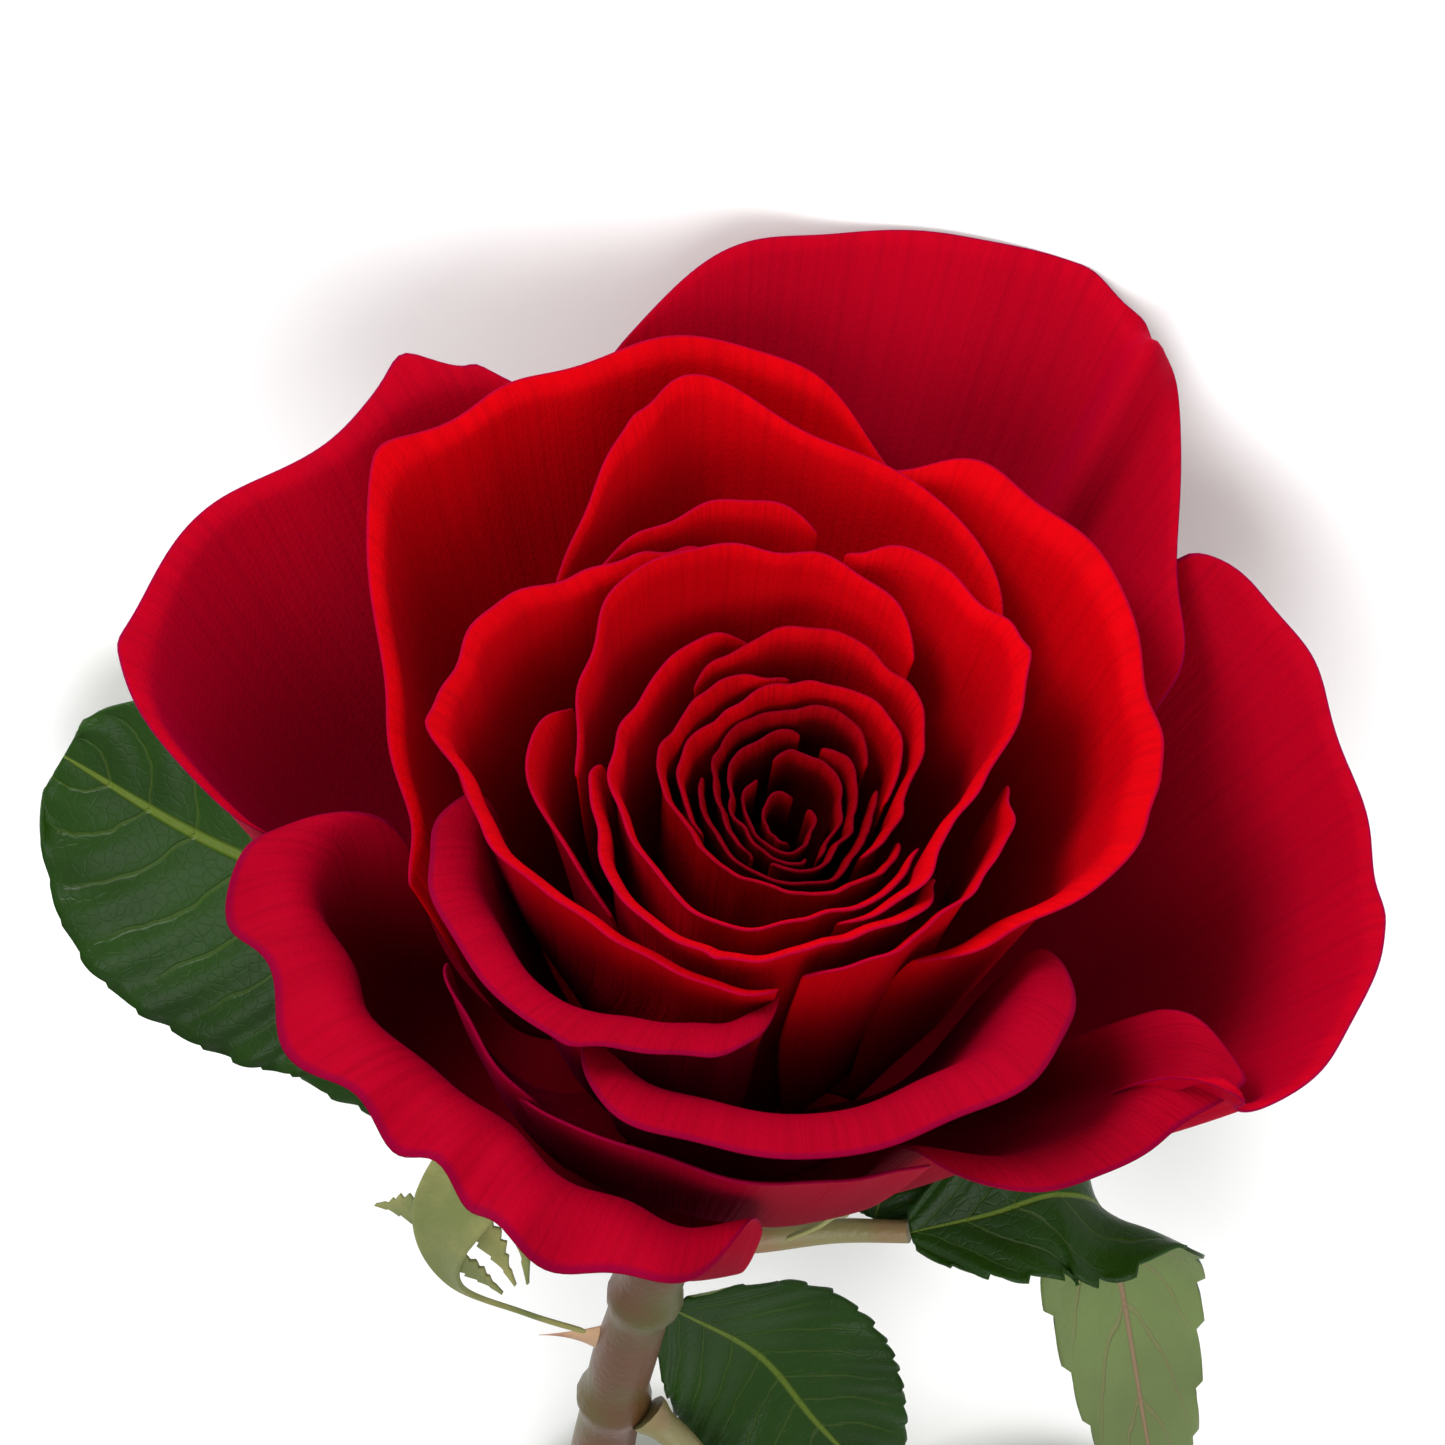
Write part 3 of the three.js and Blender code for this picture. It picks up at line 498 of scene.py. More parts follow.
petal("inner_petal_left", lean=(13, 12), roll=50, claw=165, point=[(0.5, 0.025, 1.2)], rim=[
    (114, 22.8, 46.5), (126, 23.3, 49), (138, 24.2, 50), (152, 26.4, 50.5), (166, 28.2, 50.5),
    (180, 29.8, 50.5), (192, 31, 51), (202, 28.8, 49.5), (214, 26.5, 48), (228, 24.3, 47),
    (244, 22.8, 46.5), (262, 22, 46), (278, 20, 45)])
petal("inner_petal_front_right", lean=(12, 12), roll=20, rim=[
    (284, 18, 44.5), (298, 17.8, 45.5), (312, 17, 45.5), (326, 16.9, 45.5), (340, 17.7, 46.5),
    (354, 17.6, 46.5), (8, 18, 46), (20, 18.9, 45.5)])
petal("inner_petal_left_small", lean=(21, 20), roll=15, claw=215, rim=[
    (173, 20.9, 46.5), (182, 21.6, 48), (194, 22.3, 48), (206, 21.8, 46.5), (220, 20.7, 45.5),
    (232, 20.2, 44)])
petal("inner_petal_front", lean=(14, 10), roll=45, claw=275, point=[(0.47, 0.03, 1.2)], rim=[
    (188, 17.1, 46), (200, 17.6, 46.5), (214, 18.6, 47), (228, 19.4, 47), (242, 20, 47.5),
    (256, 20.3, 48), (264, 20, 48), (274, 18.4, 47.5), (286, 16.8, 47), (298, 16, 46.5),
    (314, 15.3, 46), (330, 15, 45), (344, 14.9, 44)])
petal("inner_petal_right", lean=(10, 12), roll=40, point=[(0.6, 0.03, 1.0)], rim=[
    (298, 13.8, 45), (316, 13.6, 45.5), (334, 13.4, 46.5), (352, 13.6, 47), (8, 14.8, 47.5),
    (24, 17.4, 48), (38, 20.5, 49.5), (48, 23.2, 50.5), (58, 23.5, 50), (72, 24, 49.5),
    (84, 23.6, 49.5), (92, 23.4, 49)])
petal("inner_petal_back", lean=(12, 10), roll=25, claw=115, rim=[
    (66, 18, 46), (76, 19.3, 48), (90, 20.6, 49), (104, 21.6, 50), (118, 22, 50.5), (134, 22, 51),
    (148, 21.6, 50.5), (162, 20.6, 49.5), (178, 19.6, 48.5), (194, 18.8, 46.5)])
petal("inner_petal_low", lean=(9, 8), roll=35, claw=198, rim=[
    (114, 17.2, 44), (130, 16.6, 45.5), (148, 15.8, 46), (166, 15.5, 46.5), (184, 15.5, 47),
    (202, 15.5, 47), (220, 15.6, 46.5), (238, 15.9, 46.5), (252, 16.1, 46.5), (268, 15, 46),
    (284, 13.2, 45.5), (300, 12.2, 45), (318, 11.8, 44.5), (336, 11.6, 44), (356, 12.1, 43.5)])
petal("heart_petal_1", lean=(8, 8), roll=35, rim=[
    (336, 8, 43), (350, 8.3, 43.5), (6, 9, 44.5), (22, 10.2, 45), (38, 12, 45.5), (54, 14, 46),
    (68, 15.3, 46), (82, 16.1, 46), (98, 15.9, 46.2), (114, 15.2, 46.2), (128, 14.4, 46),
    (142, 13.6, 45)])
petal("heart_petal_2", lean=(5, 6), roll=35, claw=266, rim=[
    (103, 12.6, 45), (120, 12.1, 45.5), (140, 11.7, 46), (160, 11.6, 46), (178, 11.7, 46),
    (196, 11.2, 45.5), (214, 10.3, 45), (232, 9.7, 44.5), (250, 9.4, 44), (268, 9.3, 44),
    (286, 9.4, 44), (304, 9.7, 44), (322, 9.9, 44), (340, 9.9, 43.5), (357, 10, 43)])
petal("heart_petal_3", lean=(5, 6), roll=30, rim=[
    (18, 8.5, 44), (40, 10.3, 44.5), (62, 11.9, 45), (84, 12.1, 45), (103, 10.9, 45), (120, 10.4, 45),
    (140, 10, 44.5), (160, 9.9, 44.5), (180, 9.8, 44), (200, 9.3, 43.5), (215, 8.6, 43)])
petal("heart_petal_4", lean=(5, 5), roll=30, claw=330, rim=[
    (174, 8.4, 43.5), (195, 7.9, 43.5), (215, 7.2, 43), (240, 7.7, 43), (265, 7.7, 43),
    (290, 7.8, 43), (312, 7.8, 42.5), (335, 6.6, 42.5), (352, 6.8, 42.5), (10, 7.1, 42.5),
    (32, 8, 43)])
petal("heart_petal_5", lean=(4, 4), roll=30, claw=185, rim=[
    (48, 8.75, 43.5), (70, 9.75, 44), (92, 9.95, 44), (112, 9.05, 43.5), (135, 8.65, 43.5),
    (155, 8.15, 43), (172, 6.85, 43), (195, 6.35, 43), (215, 5.75, 42.5), (236, 5.95, 42.5),
    (248, 6.05, 42)])
petal("heart_petal_6", lean=(4, 4), roll=25, claw=400, rim=[
    (264, 5.85, 42.5), (285, 6.05, 42.5), (310, 5.95, 42), (335, 5.05, 42), (355, 5.25, 42),
    (15, 5.55, 42), (40, 6.45, 42.5), (60, 7.05, 43), (80, 7.65, 43)])
petal("heart_petal_7", lean=(4, 4), roll=20, claw=262, rim=[
    (95, 8.05, 43), (115, 7.55, 43), (140, 6.95, 42.5), (160, 6.15, 42.5), (180, 5.25, 42.5),
    (200, 4.85, 42), (222, 4.35, 42), (245, 4.55, 42), (268, 4.75, 41.5), (290, 4.75, 41.5),
    (305, 4.55, 41.5)])
petal("heart_petal_8", lean=(3, 3), roll=15, claw=450, rim=[
    (318, 4.5, 41.5), (340, 3.9, 41), (0, 4.1, 41), (25, 4.6, 41.5), (50, 5.4, 42), (75, 6.1, 42),
    (95, 6.3, 42), (115, 6.1, 42)])
petal("heart_petal_9", lean=(3, 3), roll=10, claw=355, rim=[
    (134, 5, 41.5), (160, 4.4, 41), (190, 3.6, 41), (220, 3, 40.5), (250, 3, 40.5),
    (280, 3.1, 40.5), (310, 2.8, 40.5), (335, 2.2, 40), (0, 2.2, 40), (30, 2.5, 40.5),
    (60, 3, 40.5)])
petal("heart_petal_10", lean=(2, 2), roll=8, claw=140, rim=[
    (90, 3.1, 40.5), (120, 3.1, 40.5), (155, 2.4, 40), (190, 1.6, 39.5), (230, 1.3, 39.5),
    (270, 1.4, 39.5), (310, 1.1, 39)])
print("petals in the table:", len(PETALS))

# %% [markdown]
# Now the petals themselves. The bowl is a cubic curve from the claw through the belly to just below
# the rim, and the roll is an arc. Seeded ripples, which grow towards the rim, keep the petals from
# looking turned on a lathe. A belly is a radius and a height, and SHOULDER goes from the innermost
# petal to the outermost. ROLL_RADIUS grows between the two ROLL_DEGREES, and ROLL_GATHERS says over
# which part of the roll it bends. A petal has the most columns when its span in degrees times its
# radius reaches WIDEST_RIM.

# %% Petals
BELLY_INNER = (1.2, 15.0)
BELLY_OUTER = (25.0, 1.0)
CLAW_INNER = 1.2
CLAW_OUTER = 7.0
CLAW_HALF_WIDTH = 1.2
CLAW_HEIGHT = 0.6
CLAW_LARGEST_ANGLE = 24
CLAW_SHARE_OF_RIM = 0.45
ROLL_SHARE = 0.2
ROLL_RADIUS = (3.0, 5.0)
ROLL_DEGREES = (50, 75)
ROLL_LEAST = 0.6
ROLL_GATHERS = (-0.15, 0.75)
ROLL_STEPS = 24
SHOULDER = (12, 20)
SHOULDER_DROP = 0.3
FLESH = 0.3
PETAL_SEED = 100
PETAL_ROWS = 26
PETAL_COLUMNS = (24, 60)
WIDEST_RIM = 3500
FIRST_PIT_PETAL = 23


def lerp(a, b, t):
    return a + (b - a) * t


def petal_surface(form, order):
    """The sheet of one petal; `order` is its place in the table and `outer` goes from 1 to 0."""
    outer = 1 - order / (len(PETALS) - 1)
    waves = np.random.default_rng(PETAL_SEED + order)
    phases = waves.uniform(0, 2 * math.pi, 3)
    pitches = waves.uniform(0.8, 1.25, 3) * (2.2, 4.5, 8.0)
    span = form["rim"][-1][0] - form["rim"][0][0]
    claw_radius = lerp(CLAW_INNER, CLAW_OUTER, outer)
    claw_angle = min(CLAW_LARGEST_ANGLE, math.degrees(CLAW_HALF_WIDTH / claw_radius))
    claw_angle = max(claw_angle, CLAW_SHARE_OF_RIM * span * outer)
    belly = [lerp(a, b, outer) for a, b in zip(BELLY_INNER, BELLY_OUTER)]
    shoulder = lerp(*SHOULDER, outer)
    roll_radius = lerp(*ROLL_RADIUS, smooth_step(*ROLL_DEGREES, form["roll"]))
    rounding = SHOULDER_DROP * max(0.3, 2 * outer - 1)
    beyond = (np.arange(ROLL_STEPS) + 0.5) / ROLL_STEPS

    def turned(lean, roll, share):
        """How far out and up the rim goes while it turns from its lean through its roll."""
        bend = roll[:, None] * smooth_step(*ROLL_GATHERS, share[:, None] * beyond)
        bend = bend - roll[:, None] * smooth_step(*ROLL_GATHERS, 0)
        return (np.sin(lean[:, None] + bend).mean(axis=1) * share,
                np.cos(lean[:, None] + bend).mean(axis=1) * share)

    def surface(u, share):
        v = share * (1 - rounding * np.abs(2 * u - 1) ** 8)
        edge = smooth_path(form["rim"], u)
        lean = np.radians(lerp(form["lean"][0], form["lean"][1], u))
        roll = np.radians(form["roll"]) + 0 * u
        for place, half, amount in form["curl"]:
            roll = roll + np.radians(amount) * bump(u, place, half)
        length = roll_radius * np.maximum(roll, ROLL_LEAST)
        out_full, up_full = turned(lean, roll, 1 + 0 * u)
        crest_r = edge[:, 1] - length * out_full
        crest_z = edge[:, 2] - length * up_full
        below_r = crest_r - shoulder * np.sin(lean)
        below_z = crest_z - shoulder * np.cos(lean)
        opened = smooth_step(0, form["open"], share)
        angle = lerp(form["claw"] + (2 * u - 1) * claw_angle, edge[:, 0], opened)

        t = np.clip(v / (1 - ROLL_SHARE), 0, 1)
        weights = ((1 - t) ** 3, 3 * (1 - t) ** 2 * t, 3 * (1 - t) * t ** 2, t ** 3)
        radius = sum(w * p for w, p in zip(weights, (claw_radius, belly[0], below_r, crest_r)))
        height = sum(w * p for w, p in zip(weights, (CLAW_HEIGHT, belly[1], below_z, crest_z)))

        rolled = np.clip((v - 1 + ROLL_SHARE) / ROLL_SHARE, 0, 1)
        out, up = turned(lean, roll, rolled)
        radius = radius + length * out
        height = height + length * up

        for place, half, amount in form["crease"]:
            radius = radius + amount * bump(u, place, half) * smooth_step(0.35, 0.8, v)
        for place, half, amount in form["point"]:
            peak = amount * np.exp(-np.abs(u - place) / half) * smooth_step(0.75, 1.0, v)
            radius = radius + peak * np.sin(lean + roll)
            height = height + peak * np.cos(lean + roll)
        wave = sum(
            np.sin(2 * math.pi * pitch * u * span / 120 + phase) / (k + 1)
            for k, (pitch, phase) in enumerate(zip(pitches, phases))
        )
        frill = form["frill"] * np.sin(0.45 * edge[:, 0] + phases[0] + 1.2 * np.sin(0.13 * edge[:, 0]))
        height = height + frill * smooth_step(0.86, 1.0, v)
        sway = form["ripple"] * wave * smooth_step(0.35, 1.0, v) * min(1, edge[:, 1].max() / 40)
        return polar(angle, radius + sway, height + 0.5 * sway)

    return surface


FOLDED = (
    "outer_petal_front_left", "outer_petal_front", "outer_petal_front_right", "middle_petal_sliver",
    "middle_petal_front", "middle_petal_front_left",
)


def petal_material(name, order):
    if name in FOLDED:
        return petal_folded
    if name.startswith("outer"):
        return petal_outer
    # The innermost petals take the near-black painted-shade finish and the other heart petals the darker
    # one.
    if order >= FIRST_PIT_PETAL:
        return petal_pit_painted_shade
    return petal_heart_painted_shade if name.startswith("heart") else petal_inner


for order, form in enumerate(PETALS):
    span = form["rim"][-1][0] - form["rim"][0][0]
    across = int(lerp(*PETAL_COLUMNS, min(1, span * form["rim"][0][1] / WIDEST_RIM)))
    sheet = grid_sheet(form["name"] + "_shaped", petal_surface(form, order), across, PETAL_ROWS)
    finish_sheet(sheet, FLESH)
    settle(sheet, petal_material(form["name"], order), "petal", form["name"])
print("petals shaped:", len(PETALS))

# %% [markdown]
# ## Greens
# A rose leaf is glossy and dark above and pale and dull below, with a yellowish midrib and side veins
# that slant towards the tip. The vein pattern is worked out from the place on the leaf. The young red
# of the leaf stalks, the fuzzy sepals and the green-brown stem are mixed by slow noise.

# %% Leaf, sepal and stem finishes
leaf_marks, leaf_out = shared_group(
    "leaf_marks", midrib="value", veins="value", tone="value", normal="vector"
)
across, along = sheet_place(leaf_marks)
off_rib = math_node(leaf_marks, "ABSOLUTE", math_node(leaf_marks, "SUBTRACT", across, 0.5))
wander = noise(leaf_marks, stretched(leaf_marks, across, along, 5, 5), 1.0, 2)
slant = math_node(leaf_marks, "SUBTRACT", along, math_node(leaf_marks, "MULTIPLY", off_rib, 0.42))
slant = math_node(leaf_marks, "ADD", slant, math_node(leaf_marks, "MULTIPLY", wander, 0.06))
beat = math_node(leaf_marks, "SINE", math_node(leaf_marks, "MULTIPLY", slant, 2 * math.pi * 9))
side_veins = ramp(leaf_marks, beat, 0.93, 1.0)
side_veins = math_node(leaf_marks, "MULTIPLY", side_veins, ramp(leaf_marks, off_rib, 0.48, 0.25))
midrib = ramp(leaf_marks, off_rib, 0.022, 0.008)
net = node(leaf_marks, "ShaderNodeTexVoronoi", feature="DISTANCE_TO_EDGE")
plug(leaf_marks, net.inputs["Vector"], in_space(leaf_marks))
plug(leaf_marks, net.inputs["Scale"], 900)
mesh_veins = ramp(leaf_marks, net.outputs["Distance"], 0.12, 0.02)
plug(leaf_marks, leaf_out.inputs["midrib"], midrib)
plug(leaf_marks, leaf_out.inputs["veins"], side_veins)
plug(leaf_marks, leaf_out.inputs["tone"], noise(leaf_marks, in_space(leaf_marks), 60, 3))
hollow = math_node(leaf_marks, "ADD", side_veins, math_node(leaf_marks, "MULTIPLY", midrib, 1.5))
hollow = math_node(leaf_marks, "ADD", hollow, math_node(leaf_marks, "MULTIPLY", mesh_veins, 0.1))
plug(leaf_marks, leaf_out.inputs["normal"], bumped(leaf_marks, math_node(
    leaf_marks, "MULTIPLY", hollow, -1.0), 0.45, 0.4))


def leaf_finish(name, blade, shade, vein, vein_amount, **constants):
    material, tree, shader = new_finish(name, **constants)
    marks = use_group(tree, leaf_marks)
    colour = mix(tree, ramp(tree, marks["tone"], 0.35, 0.7), blade, shade)
    colour = mix(tree, math_node(tree, "MULTIPLY", marks["veins"], vein_amount), colour, vein)
    colour = mix(tree, math_node(tree, "MULTIPLY", marks["midrib"], 0.85), colour, vein)
    plug(tree, shader.inputs["Base Color"], colour)
    plug(tree, shader.inputs["Normal"], marks["normal"])
    return material


leaf_top = leaf_finish(
    "leaf_top", (0.010, 0.036, 0.002), (0.006, 0.022, 0.001), (0.08, 0.12, 0.012), 0.16,
    Roughness=0.36, IOR=1.45, Specular_IOR_Level=0.14, Subsurface_Weight=0.1, Subsurface_Scale=0.001,
    Subsurface_Radius=(0.3, 1.0, 0.1),
)
leaf_under = leaf_finish(
    "leaf_under", (0.115, 0.165, 0.045), (0.09, 0.125, 0.035), (0.20, 0.12, 0.07), 0.3,
    Roughness=0.6, Specular_IOR_Level=0.3, Sheen_Weight=0.1,
)


def mottled_finish(name, colours, scale, depth, **constants):
    """Two colours by slow noise with fine grain, for stalks, sepals and thorns."""
    material, tree, shader = new_finish(name, **constants)
    slow = noise(tree, in_space(tree), scale, 3)
    fine = noise(tree, in_space(tree), scale * 18, 2)
    plug(tree, shader.inputs["Base Color"], mix(tree, ramp(tree, slow, 0.38, 0.62), *colours))
    plug(tree, shader.inputs["Normal"], bumped(tree, fine, 0.5, depth))
    return material


stalk_finish = mottled_finish(
    "stalk_finish", ((0.20, 0.075, 0.038), (0.16, 0.14, 0.05)), 90, 0.2, Roughness=0.5
)
sepal_finish = mottled_finish(
    "sepal_finish", ((0.20, 0.19, 0.055), (0.11, 0.13, 0.03)), 120, 0.25, Roughness=0.75,
    Sheen_Weight=0.08, Sheen_Roughness=0.4, Sheen_Tint=(0.9, 1.0, 0.75),
)
thorn_finish = mottled_finish(
    "thorn_finish", ((0.26, 0.11, 0.07), (0.36, 0.22, 0.12)), 200, 0.1, Roughness=0.45
)
stem_finish = mottled_finish(
    "stem_finish", ((0.062, 0.058, 0.01), (0.085, 0.034, 0.013)), 70, 0.2, Roughness=0.45,
    Specular_IOR_Level=0.35,
)
print("greens:", [m.name for m in (leaf_top, leaf_under, sepal_finish, stem_finish)])

# %% [markdown]
# ## Leaves
# A leaf point is a place beside the stem, a lift above the surface and a height along the plant, so
# that the leaves lie with the flower. The margin is saw-toothed: each tooth swells out slowly and cuts
# back sharply, and the blade puckers a little between its side veins.

# %% Leaf blades
TEETH = 15
SIDE_VEINS = 9
BLADE = 0.35
LEAF_CUP = 0.12
LEAF_SEED = 500
LEAF_COLUMNS = 28
ROWS_PER_TOOTH = 8


def bed_points(rows):
    """Rows of a place beside the stem, a lift and a height, as plant points."""
    x, lift, height = np.asarray(rows, dtype=float).T
    return np.stack([x, bed_depth(height) - lift, height], axis=1)


def leaflet_surface(line, width, facing, seed, blunt=0.7, bite=0.05):
    """A blade along `line` whose upper face looks towards `facing`; `bite` is how deep its teeth are."""
    line = bed_points(line)
    look = facing if len(facing) > 1 else facing * 2
    waves = np.random.default_rng(LEAF_SEED + seed).uniform(0, 2 * math.pi, 4)

    def surface(u, v):
        along = smooth_path(line, v + 0.005) - smooth_path(line, v - 0.005)
        along /= np.linalg.norm(along, axis=1)[:, None]
        side = np.cross(along, smooth_path(look, v))
        side /= np.linalg.norm(side, axis=1)[:, None]
        face = np.cross(side, along)
        across = 2 * u - 1
        outline = np.maximum(0.03, np.sin(math.pi * (0.02 + 0.96 * v) ** 0.85) ** blunt)
        tooth = (v * TEETH + 0.15 * np.sign(across)) % 1
        notch = 1 - bite * smooth_step(0.75, 1.0, np.abs(across)) * (1 - tooth) ** 1.5
        half = width / 2 * outline * notch
        slide = 0.35 * np.abs(across) ** 1.5 * half * 0.5
        sway = np.sin(9 * v + waves[0] + 2.5 * across) + 0.6 * np.sin(17 * v + waves[1] - 3 * across)
        pucker = 0.35 * np.sin(2 * math.pi * SIDE_VEINS * (v - 0.21 * np.abs(across)) + waves[2])
        rise = LEAF_CUP * half * np.abs(across) + (0.5 * sway + pucker) * np.abs(across) * width / 36
        point = smooth_path(line, v) + side * (across * half)[:, None] + face * rise[:, None]
        return point + along * (slide * (1 - v))[:, None]

    return surface


FLAT = [(0, -1, 0.1)]
LEAVES = {
    "left_leaf_end": dict(
        line=[(-22, 14.5, -31.5), (-36, 14, -29), (-52, 13, -26.5), (-66, 10.5, -23.5)],
        width=38, facing=[(0, -0.85, 0.53)], blunt=0.5, bite=0.02),
    "left_leaf_side_front": dict(
        line=[(-16.9, 15.7, -43.6), (-21, 12, -47), (-29, 7, -53), (-38, 4.5, -57), (-49, 2.4, -60)],
        width=22.8, facing=[(0, -0.95, 0.3)]),
    "left_leaf_side_back": dict(
        line=[(-11.7, 17.2, -45.4), (-9.8, 12.5, -52), (-9.2, 7, -61), (-10, 3.5, -71), (-11.5, 2, -82)],
        width=12.2, facing=FLAT),
    "right_leaf_end": dict(
        line=[(19.6, 40, -21.8), (26, 38.4, -19), (31.6, 35.4, -18), (36.4, 32.5, -22.5),
              (40, 33.5, -31), (45.5, 37, -44), (50, 36, -58)],
        width=17.5, bite=0.12,
        facing=[(0, -0.57, 0.82), (0, -0.57, 0.82), (0.7, -0.1, 0.7), (0.6, 0.5, -0.3),
                (0.1, 0.57, -0.82), (0, 0.57, -0.82), (0, 0.57, -0.82)]),
    "right_leaf_side": dict(
        line=[(16.2, 37.6, -24.2), (17, 32.5, -20), (20, 27, -13.5), (27, 23, -11)], width=17.1,
        facing=[(0, -1, 0.4)]),
    "lower_leaf": dict(
        line=[(0.6, 36.4, -44), (9.3, 30, -55.5), (16.3, 29.5, -63.5), (24.3, 27.5, -73.5)],
        width=21.3, facing=[(0.1, -0.8, 0.6)]),
    "low_leaf_end": dict(
        line=[(30.8, 4.5, -113.8), (37, 6, -130), (41, 4, -148), (42, 1.4, -168)],
        width=36.1, facing=FLAT),
    "low_leaf_side_right": dict(
        line=[(29.8, 11.2, -103.8), (38, 8, -103), (48, 5, -103), (62, 1.4, -105)],
        width=22, facing=FLAT),
    "low_leaf_side_left": dict(
        line=[(27.2, 12.35, -104.8), (16, 9, -108), (5, 5, -114), (-9, 1.4, -122)],
        width=26.6, facing=FLAT),
}


def finish_blade(sheet, thickness, top, under):
    """A sheet whose upper face has one finish and its under face another."""
    sheet.data.materials.append(top)
    sheet.data.materials.append(under)
    bpy.context.view_layer.objects.active = sheet
    wall = sheet.modifiers.new("wall", "SOLIDIFY")
    wall.thickness = thickness * MM
    wall.offset = 0
    wall.material_offset = 1
    bpy.ops.object.modifier_apply(modifier="wall")
    bpy.ops.object.shade_smooth()


for seed, (name, form) in enumerate(LEAVES.items()):
    surface = leaflet_surface(seed=seed, **form)
    sheet = grid_sheet(name + "_shaped", surface, LEAF_COLUMNS, TEETH * ROWS_PER_TOOTH)
    finish_blade(sheet, BLADE, leaf_top, leaf_under)
    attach(sheet, "root")
    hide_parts(name)
    sheet.select_set(False)
print("leaf blades:", list(LEAVES))

# %% [markdown]
# ## Stem and leaf stalks
# These are bevelled curves turned into meshes, thicker where the radius of a curve point is larger.
# The stem swells into the receptacle under the petals and into a knot where each leaf leaves it, and
# its lower end is cut off square.

# %% Stem
STEM_BENDS = [(0, 0, -14), (-2.4, 0, -42), (-2.6, 0.5, -70), (-1, 2, -130), (1, 2.5, -200), (0, 0, -262)]
KNOTS = (-26, -38, -57)
STEM_RADIUS = 2.9
STEM_TOP = -16.0
STEM_FOOT = -262.0
STEM_STEP = 1.2
RECEPTACLE = [(-0.4, 7.2), (-1.4, 6.7), (-3, 6.2), (-6.3, 6.75), (-9.9, 6.0), (-12.9, 3.8), (-15, 2.95)]


def rod(name, points, radii, sides=4):
    """A round rod through the points, with its own radius at each."""
    bpy.ops.curve.primitive_bezier_curve_add()
    curve = bpy.context.object
    curve.name = name
    shape = curve.data
    shape.splines.clear()
    line = shape.splines.new("POLY")
    line.points.add(len(points) - 1)
    for place, at, radius in zip(line.points, lay(points), radii):
        place.co = (*at, 1)
        place.radius = radius * MM
    shape.dimensions = "3D"
    shape.bevel_depth = 1
    shape.bevel_resolution = sides
    shape.use_fill_caps = True
    bpy.ops.object.convert(target="MESH")
    made = bpy.context.object
    made.data.name = name
    bpy.ops.object.shade_smooth()
    return made


def stem_centre(heights):
    t = np.linspace(0, 1, 400)
    path = smooth_path(STEM_BENDS, t)
    order = np.argsort(path[:, 2])
    return np.stack([
        np.interp(heights, path[order, 2], path[order, 0]),
        np.interp(heights, path[order, 2], path[order, 1]),
        heights,
    ], axis=1)


below = np.arange(STEM_TOP, STEM_FOOT + 0.1, -STEM_STEP)
heights = np.concatenate([[h for h, _ in RECEPTACLE], below, [STEM_FOOT]])
radii = np.concatenate([[r for _, r in RECEPTACLE], np.full(len(below) + 1, STEM_RADIUS)])
for knot in KNOTS:
    radii += 0.75 * bump(heights, knot, 1.8) * (heights < STEM_TOP)
radii += 0.07 * np.sin(heights * 0.35) * (heights < STEM_TOP)
stem = rod("stem_shaped", stem_centre(heights), radii, 6)
stem.data.materials.append(stem_finish)
stem.data.materials.append(thorn_finish)
print("stem faces:", len(stem.data.polygons))

# %% [markdown]
# Thorns are hooked cones that flare into the bark; each is given by its height and its angle round the
# stem. They have a paler, redder finish than the bark.

# %% Thorns
THORNS = [(-47, 182), (-76, 20), (-108, 250), (-139, 130), (-171, 330), (-206, 205)]


def thorn_surface(height, angle):
    foot = stem_centre(np.array([float(height)]))[0]
    out = polar(angle, 1.0, 0.0)
    side = polar(angle + 90, 1.0, 0.0)

    def surface(u, v):
        turn = 2 * math.pi * u
        size = (1 - v) ** 1.6 * (1 - v * 0.15) + 0.02
        reach = STEM_RADIUS - 0.9 + 6.2 * v ** 1.25
        wide = 1.05 * size
        tall = 2.5 * size
        hook = -2.0 * v ** 2
        return (foot + out * reach[:, None] + side * (wide * np.cos(turn))[:, None]
                + np.array([0, 0, 1]) * (tall * np.sin(turn) + hook)[:, None])

    return surface


def closed_tube(name, surface, around, along):
    """A sheet wrapped into a tube: its side seam is merged and its ends are filled."""
    tube = grid_sheet(name, surface, around, along)
    bpy.ops.object.mode_set(mode="EDIT")
    bpy.ops.mesh.select_all(action="SELECT")
    bpy.ops.mesh.remove_doubles(threshold=2e-6)
    bpy.ops.mesh.select_all(action="SELECT")
    bpy.ops.mesh.fill_holes(sides=0)
    bpy.ops.mesh.select_all(action="SELECT")
    bpy.ops.mesh.normals_make_consistent(inside=False)
    bpy.ops.object.mode_set(mode="OBJECT")
    bpy.ops.object.shade_smooth()
    return tube


def join_to(target, parts):
    bpy.ops.object.select_all(action="DESELECT")
    for part in parts:
        part.select_set(True)
    target.select_set(True)
    bpy.context.view_layer.objects.active = target
    bpy.ops.object.join()
    target.select_set(False)


thorns = []
for height, angle in THORNS:
    thorn = closed_tube("thorn", thorn_surface(height, angle), 16, 12)
    thorn.data.materials.append(thorn_finish)
    thorns.append(thorn)
join_to(stem, thorns)
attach(stem, "root")
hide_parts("stem")
print("thorns:", len(thorns))

# %% [markdown]
# Each leaf stalk is a rod that leaves its knot sideways and gets thinner towards the leaf.

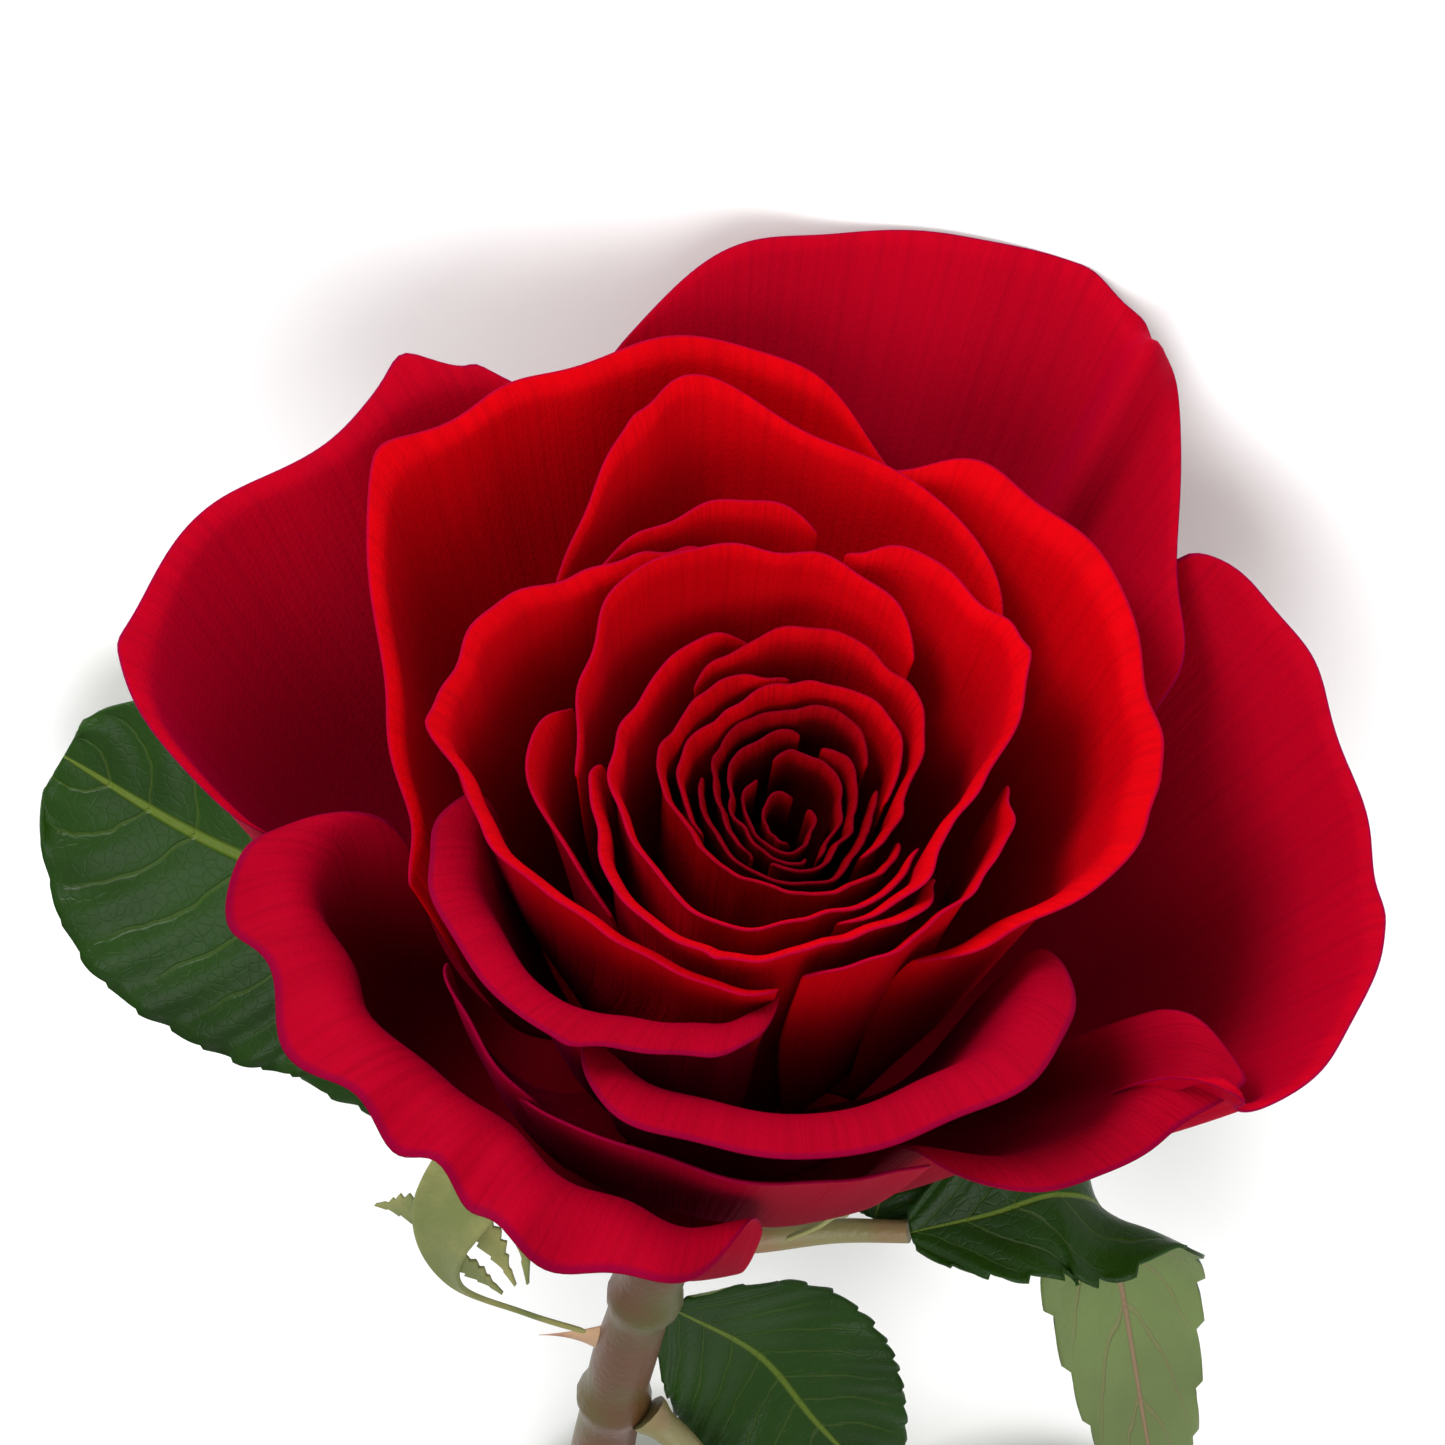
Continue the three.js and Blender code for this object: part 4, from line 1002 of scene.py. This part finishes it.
# %% Leaf stalks
STALKS = {
    "left_leaf_stalk": (-38, [(-7, 26, -41), (-13, 17, -44), (-21.6, 16.2, -33.5)]),
    "right_leaf_stalk": (-26, [(6, 40.5, -27), (13, 39.6, -24.5), (19.5, 39.8, -22)]),
    "low_leaf_stalk": (-57, [(5.5, 38.8, -60), (14, 39.5, -70), (26, 24, -92), (30.5, 5, -113)]),
}
for name, (height, rows) in STALKS.items():
    rest = bed_points(rows)
    foot = stem_centre(np.array([float(height)]))[0]
    out = (rest[0] - foot) * (1, 1, 0)
    foot = foot + out / np.linalg.norm(out) * (STEM_RADIUS + 0.7)
    steps = np.linspace(0, 1, 40)
    line = smooth_path(np.vstack([foot, rest]), steps)
    girth = 1.5 - 0.45 * smooth_step(0, 1, steps) + 0.6 * bump(steps, 0, 0.06)
    stalk = rod(name + "_shaped", line, girth, 4)
    settle(stalk, stalk_finish, "leaf_stalk", name)
print("leaf stalks:", list(STALKS))

# %% [markdown]
# ## Sepals
# A sepal is a pale fuzzy strap that narrows into a curling tail. Two of them have little toothed lobes
# along their sides. The rows are an angle, a radius and a height, then the ways that its face looks.

# %% Sepals
SEPALS = {
    "sepal_left": (
        [(205, 8.2, -1.6), (204, 15, -4), (204, 20.5, -11), (205, 23, -20),
         (206, 21, -29), (206, 14, -36), (208, 7.5, -41)],
        [(-0.5, -0.4, 1), (-0.3, -0.5, 0.8), (-0.2, -0.6, 0.4), (-0.3, -0.9, 0.1),
         (-0.2, -1, -0.4), (0.1, -0.6, -1)]),
    "sepal_back_left": (
        [(133, 8.2, -1.6), (138, 16, -4), (143, 24, -11), (147, 30, -21)],
        [(-0.7, 0.7, 1), (-0.6, 0.5, 0.8)]),
    "sepal_back_right": (
        [(68, 8.2, -1.6), (69, 15, -4), (70, 21, -12), (72, 22, -23), (73, 19, -32)],
        [(0.4, 0.9, 1), (0.4, 0.9, 0)]),
    "sepal_right": (
        [(349, 8.2, -1.6), (350, 12, -3.5), (352, 13.5, -9), (354, 12, -16), (356, 9, -22)],
        [(1, -0.2, 1), (1, -0.2, 0)]),
    "sepal_front": (
        [(277, 8.2, -1.6), (276, 11.5, -3.5), (274, 12, -9), (272, 10, -16), (270, 7.5, -22)],
        [(0, -1, 1), (0, -1, 0)]),
}
SEPAL_HALF_WIDTH = 4.2
SEPAL_CUP = 0.2
SEPAL_FLESH = 0.5
LOBE_FLESH = 0.35
LOBE_LENGTH = 9.5
LOBE_WIDTH = 3.8
LOBES = {"sepal_left": (0.28, 0.34, 0.42, 0.48, 0.56), "sepal_back_left": (0.22, 0.30, 0.36, 0.5)}


def sepal_half_width(v):
    strap = (0.75 + 0.25 * np.sin(2 * math.pi * np.minimum(v, 0.5))) * (1 - smooth_step(0.45, 0.74, v))
    return SEPAL_HALF_WIDTH * lerp(0.14, 1, strap) * (1 - 0.7 * v ** 4)


def sepal_frame(rows, facing, v):
    """Middle, direction, sideways and face of a sepal at v."""
    line = polar(*np.array(rows, dtype=float).T)
    middle = smooth_path(line, v)
    along = smooth_path(line, v + 0.01) - smooth_path(line, v - 0.01)
    along /= np.linalg.norm(along, axis=1)[:, None]
    side = np.cross(along, smooth_path(facing, v))
    side /= np.linalg.norm(side, axis=1)[:, None]
    return middle, along, side, np.cross(side, along)


def sepal_surface(rows, facing):
    def surface(u, v):
        middle, along, side, face = sepal_frame(rows, facing, v)
        across = 2 * u - 1
        half = sepal_half_width(v)
        rise = SEPAL_CUP * half * across ** 2
        return middle + side * (across * half)[:, None] + face * rise[:, None]

    return surface


def lobe_surface(root, way, face, length, width):
    """A small toothed leaf that grows from `root` along `way`."""
    way = np.array(way, dtype=float) / np.linalg.norm(way)
    side = np.cross(way, face)
    side /= np.linalg.norm(side)

    def surface(u, v):
        across = 2 * u - 1
        tooth = (v * 5) % 1
        half = width / 2 * (0.35 + 0.65 * np.sin(math.pi * np.minimum(1, v + 0.25)))
        half = half * (1 - v ** 3) * (1 - 0.45 * tooth ** 1.2 * (np.abs(across) > 0.6)) + 0.06
        droop = np.array([0, 0, -1.0]) * (0.12 * length * v ** 2)[:, None]
        return root + way * (length * v)[:, None] + side * (across * half)[:, None] + droop

    return surface


for name, (rows, facing) in SEPALS.items():
    sheet = grid_sheet(name + "_shaped", sepal_surface(rows, facing), 10, 48)
    finish_sheet(sheet, SEPAL_FLESH)
    lobes = []
    for k, v in enumerate(LOBES.get(name, ())):
        at = np.array([v])
        middle, along, side, face = (row[0] for row in sepal_frame(rows, facing, at))
        sign = 1 if k % 2 else -1
        half = float(sepal_half_width(at)[0])
        root = middle + side * sign * half * 0.6
        way = side * sign + along * 0.75 - face * 0.2
        lobe = grid_sheet("lobe", lobe_surface(root, way, face, LOBE_LENGTH - k, LOBE_WIDTH), 8, 30)
        finish_sheet(lobe, LOBE_FLESH, rounding=0)
        lobes.append(lobe)
    if lobes:
        join_to(sheet, lobes)
    settle(sheet, sepal_finish, "sepal", name)
print("sepals:", list(SEPALS))
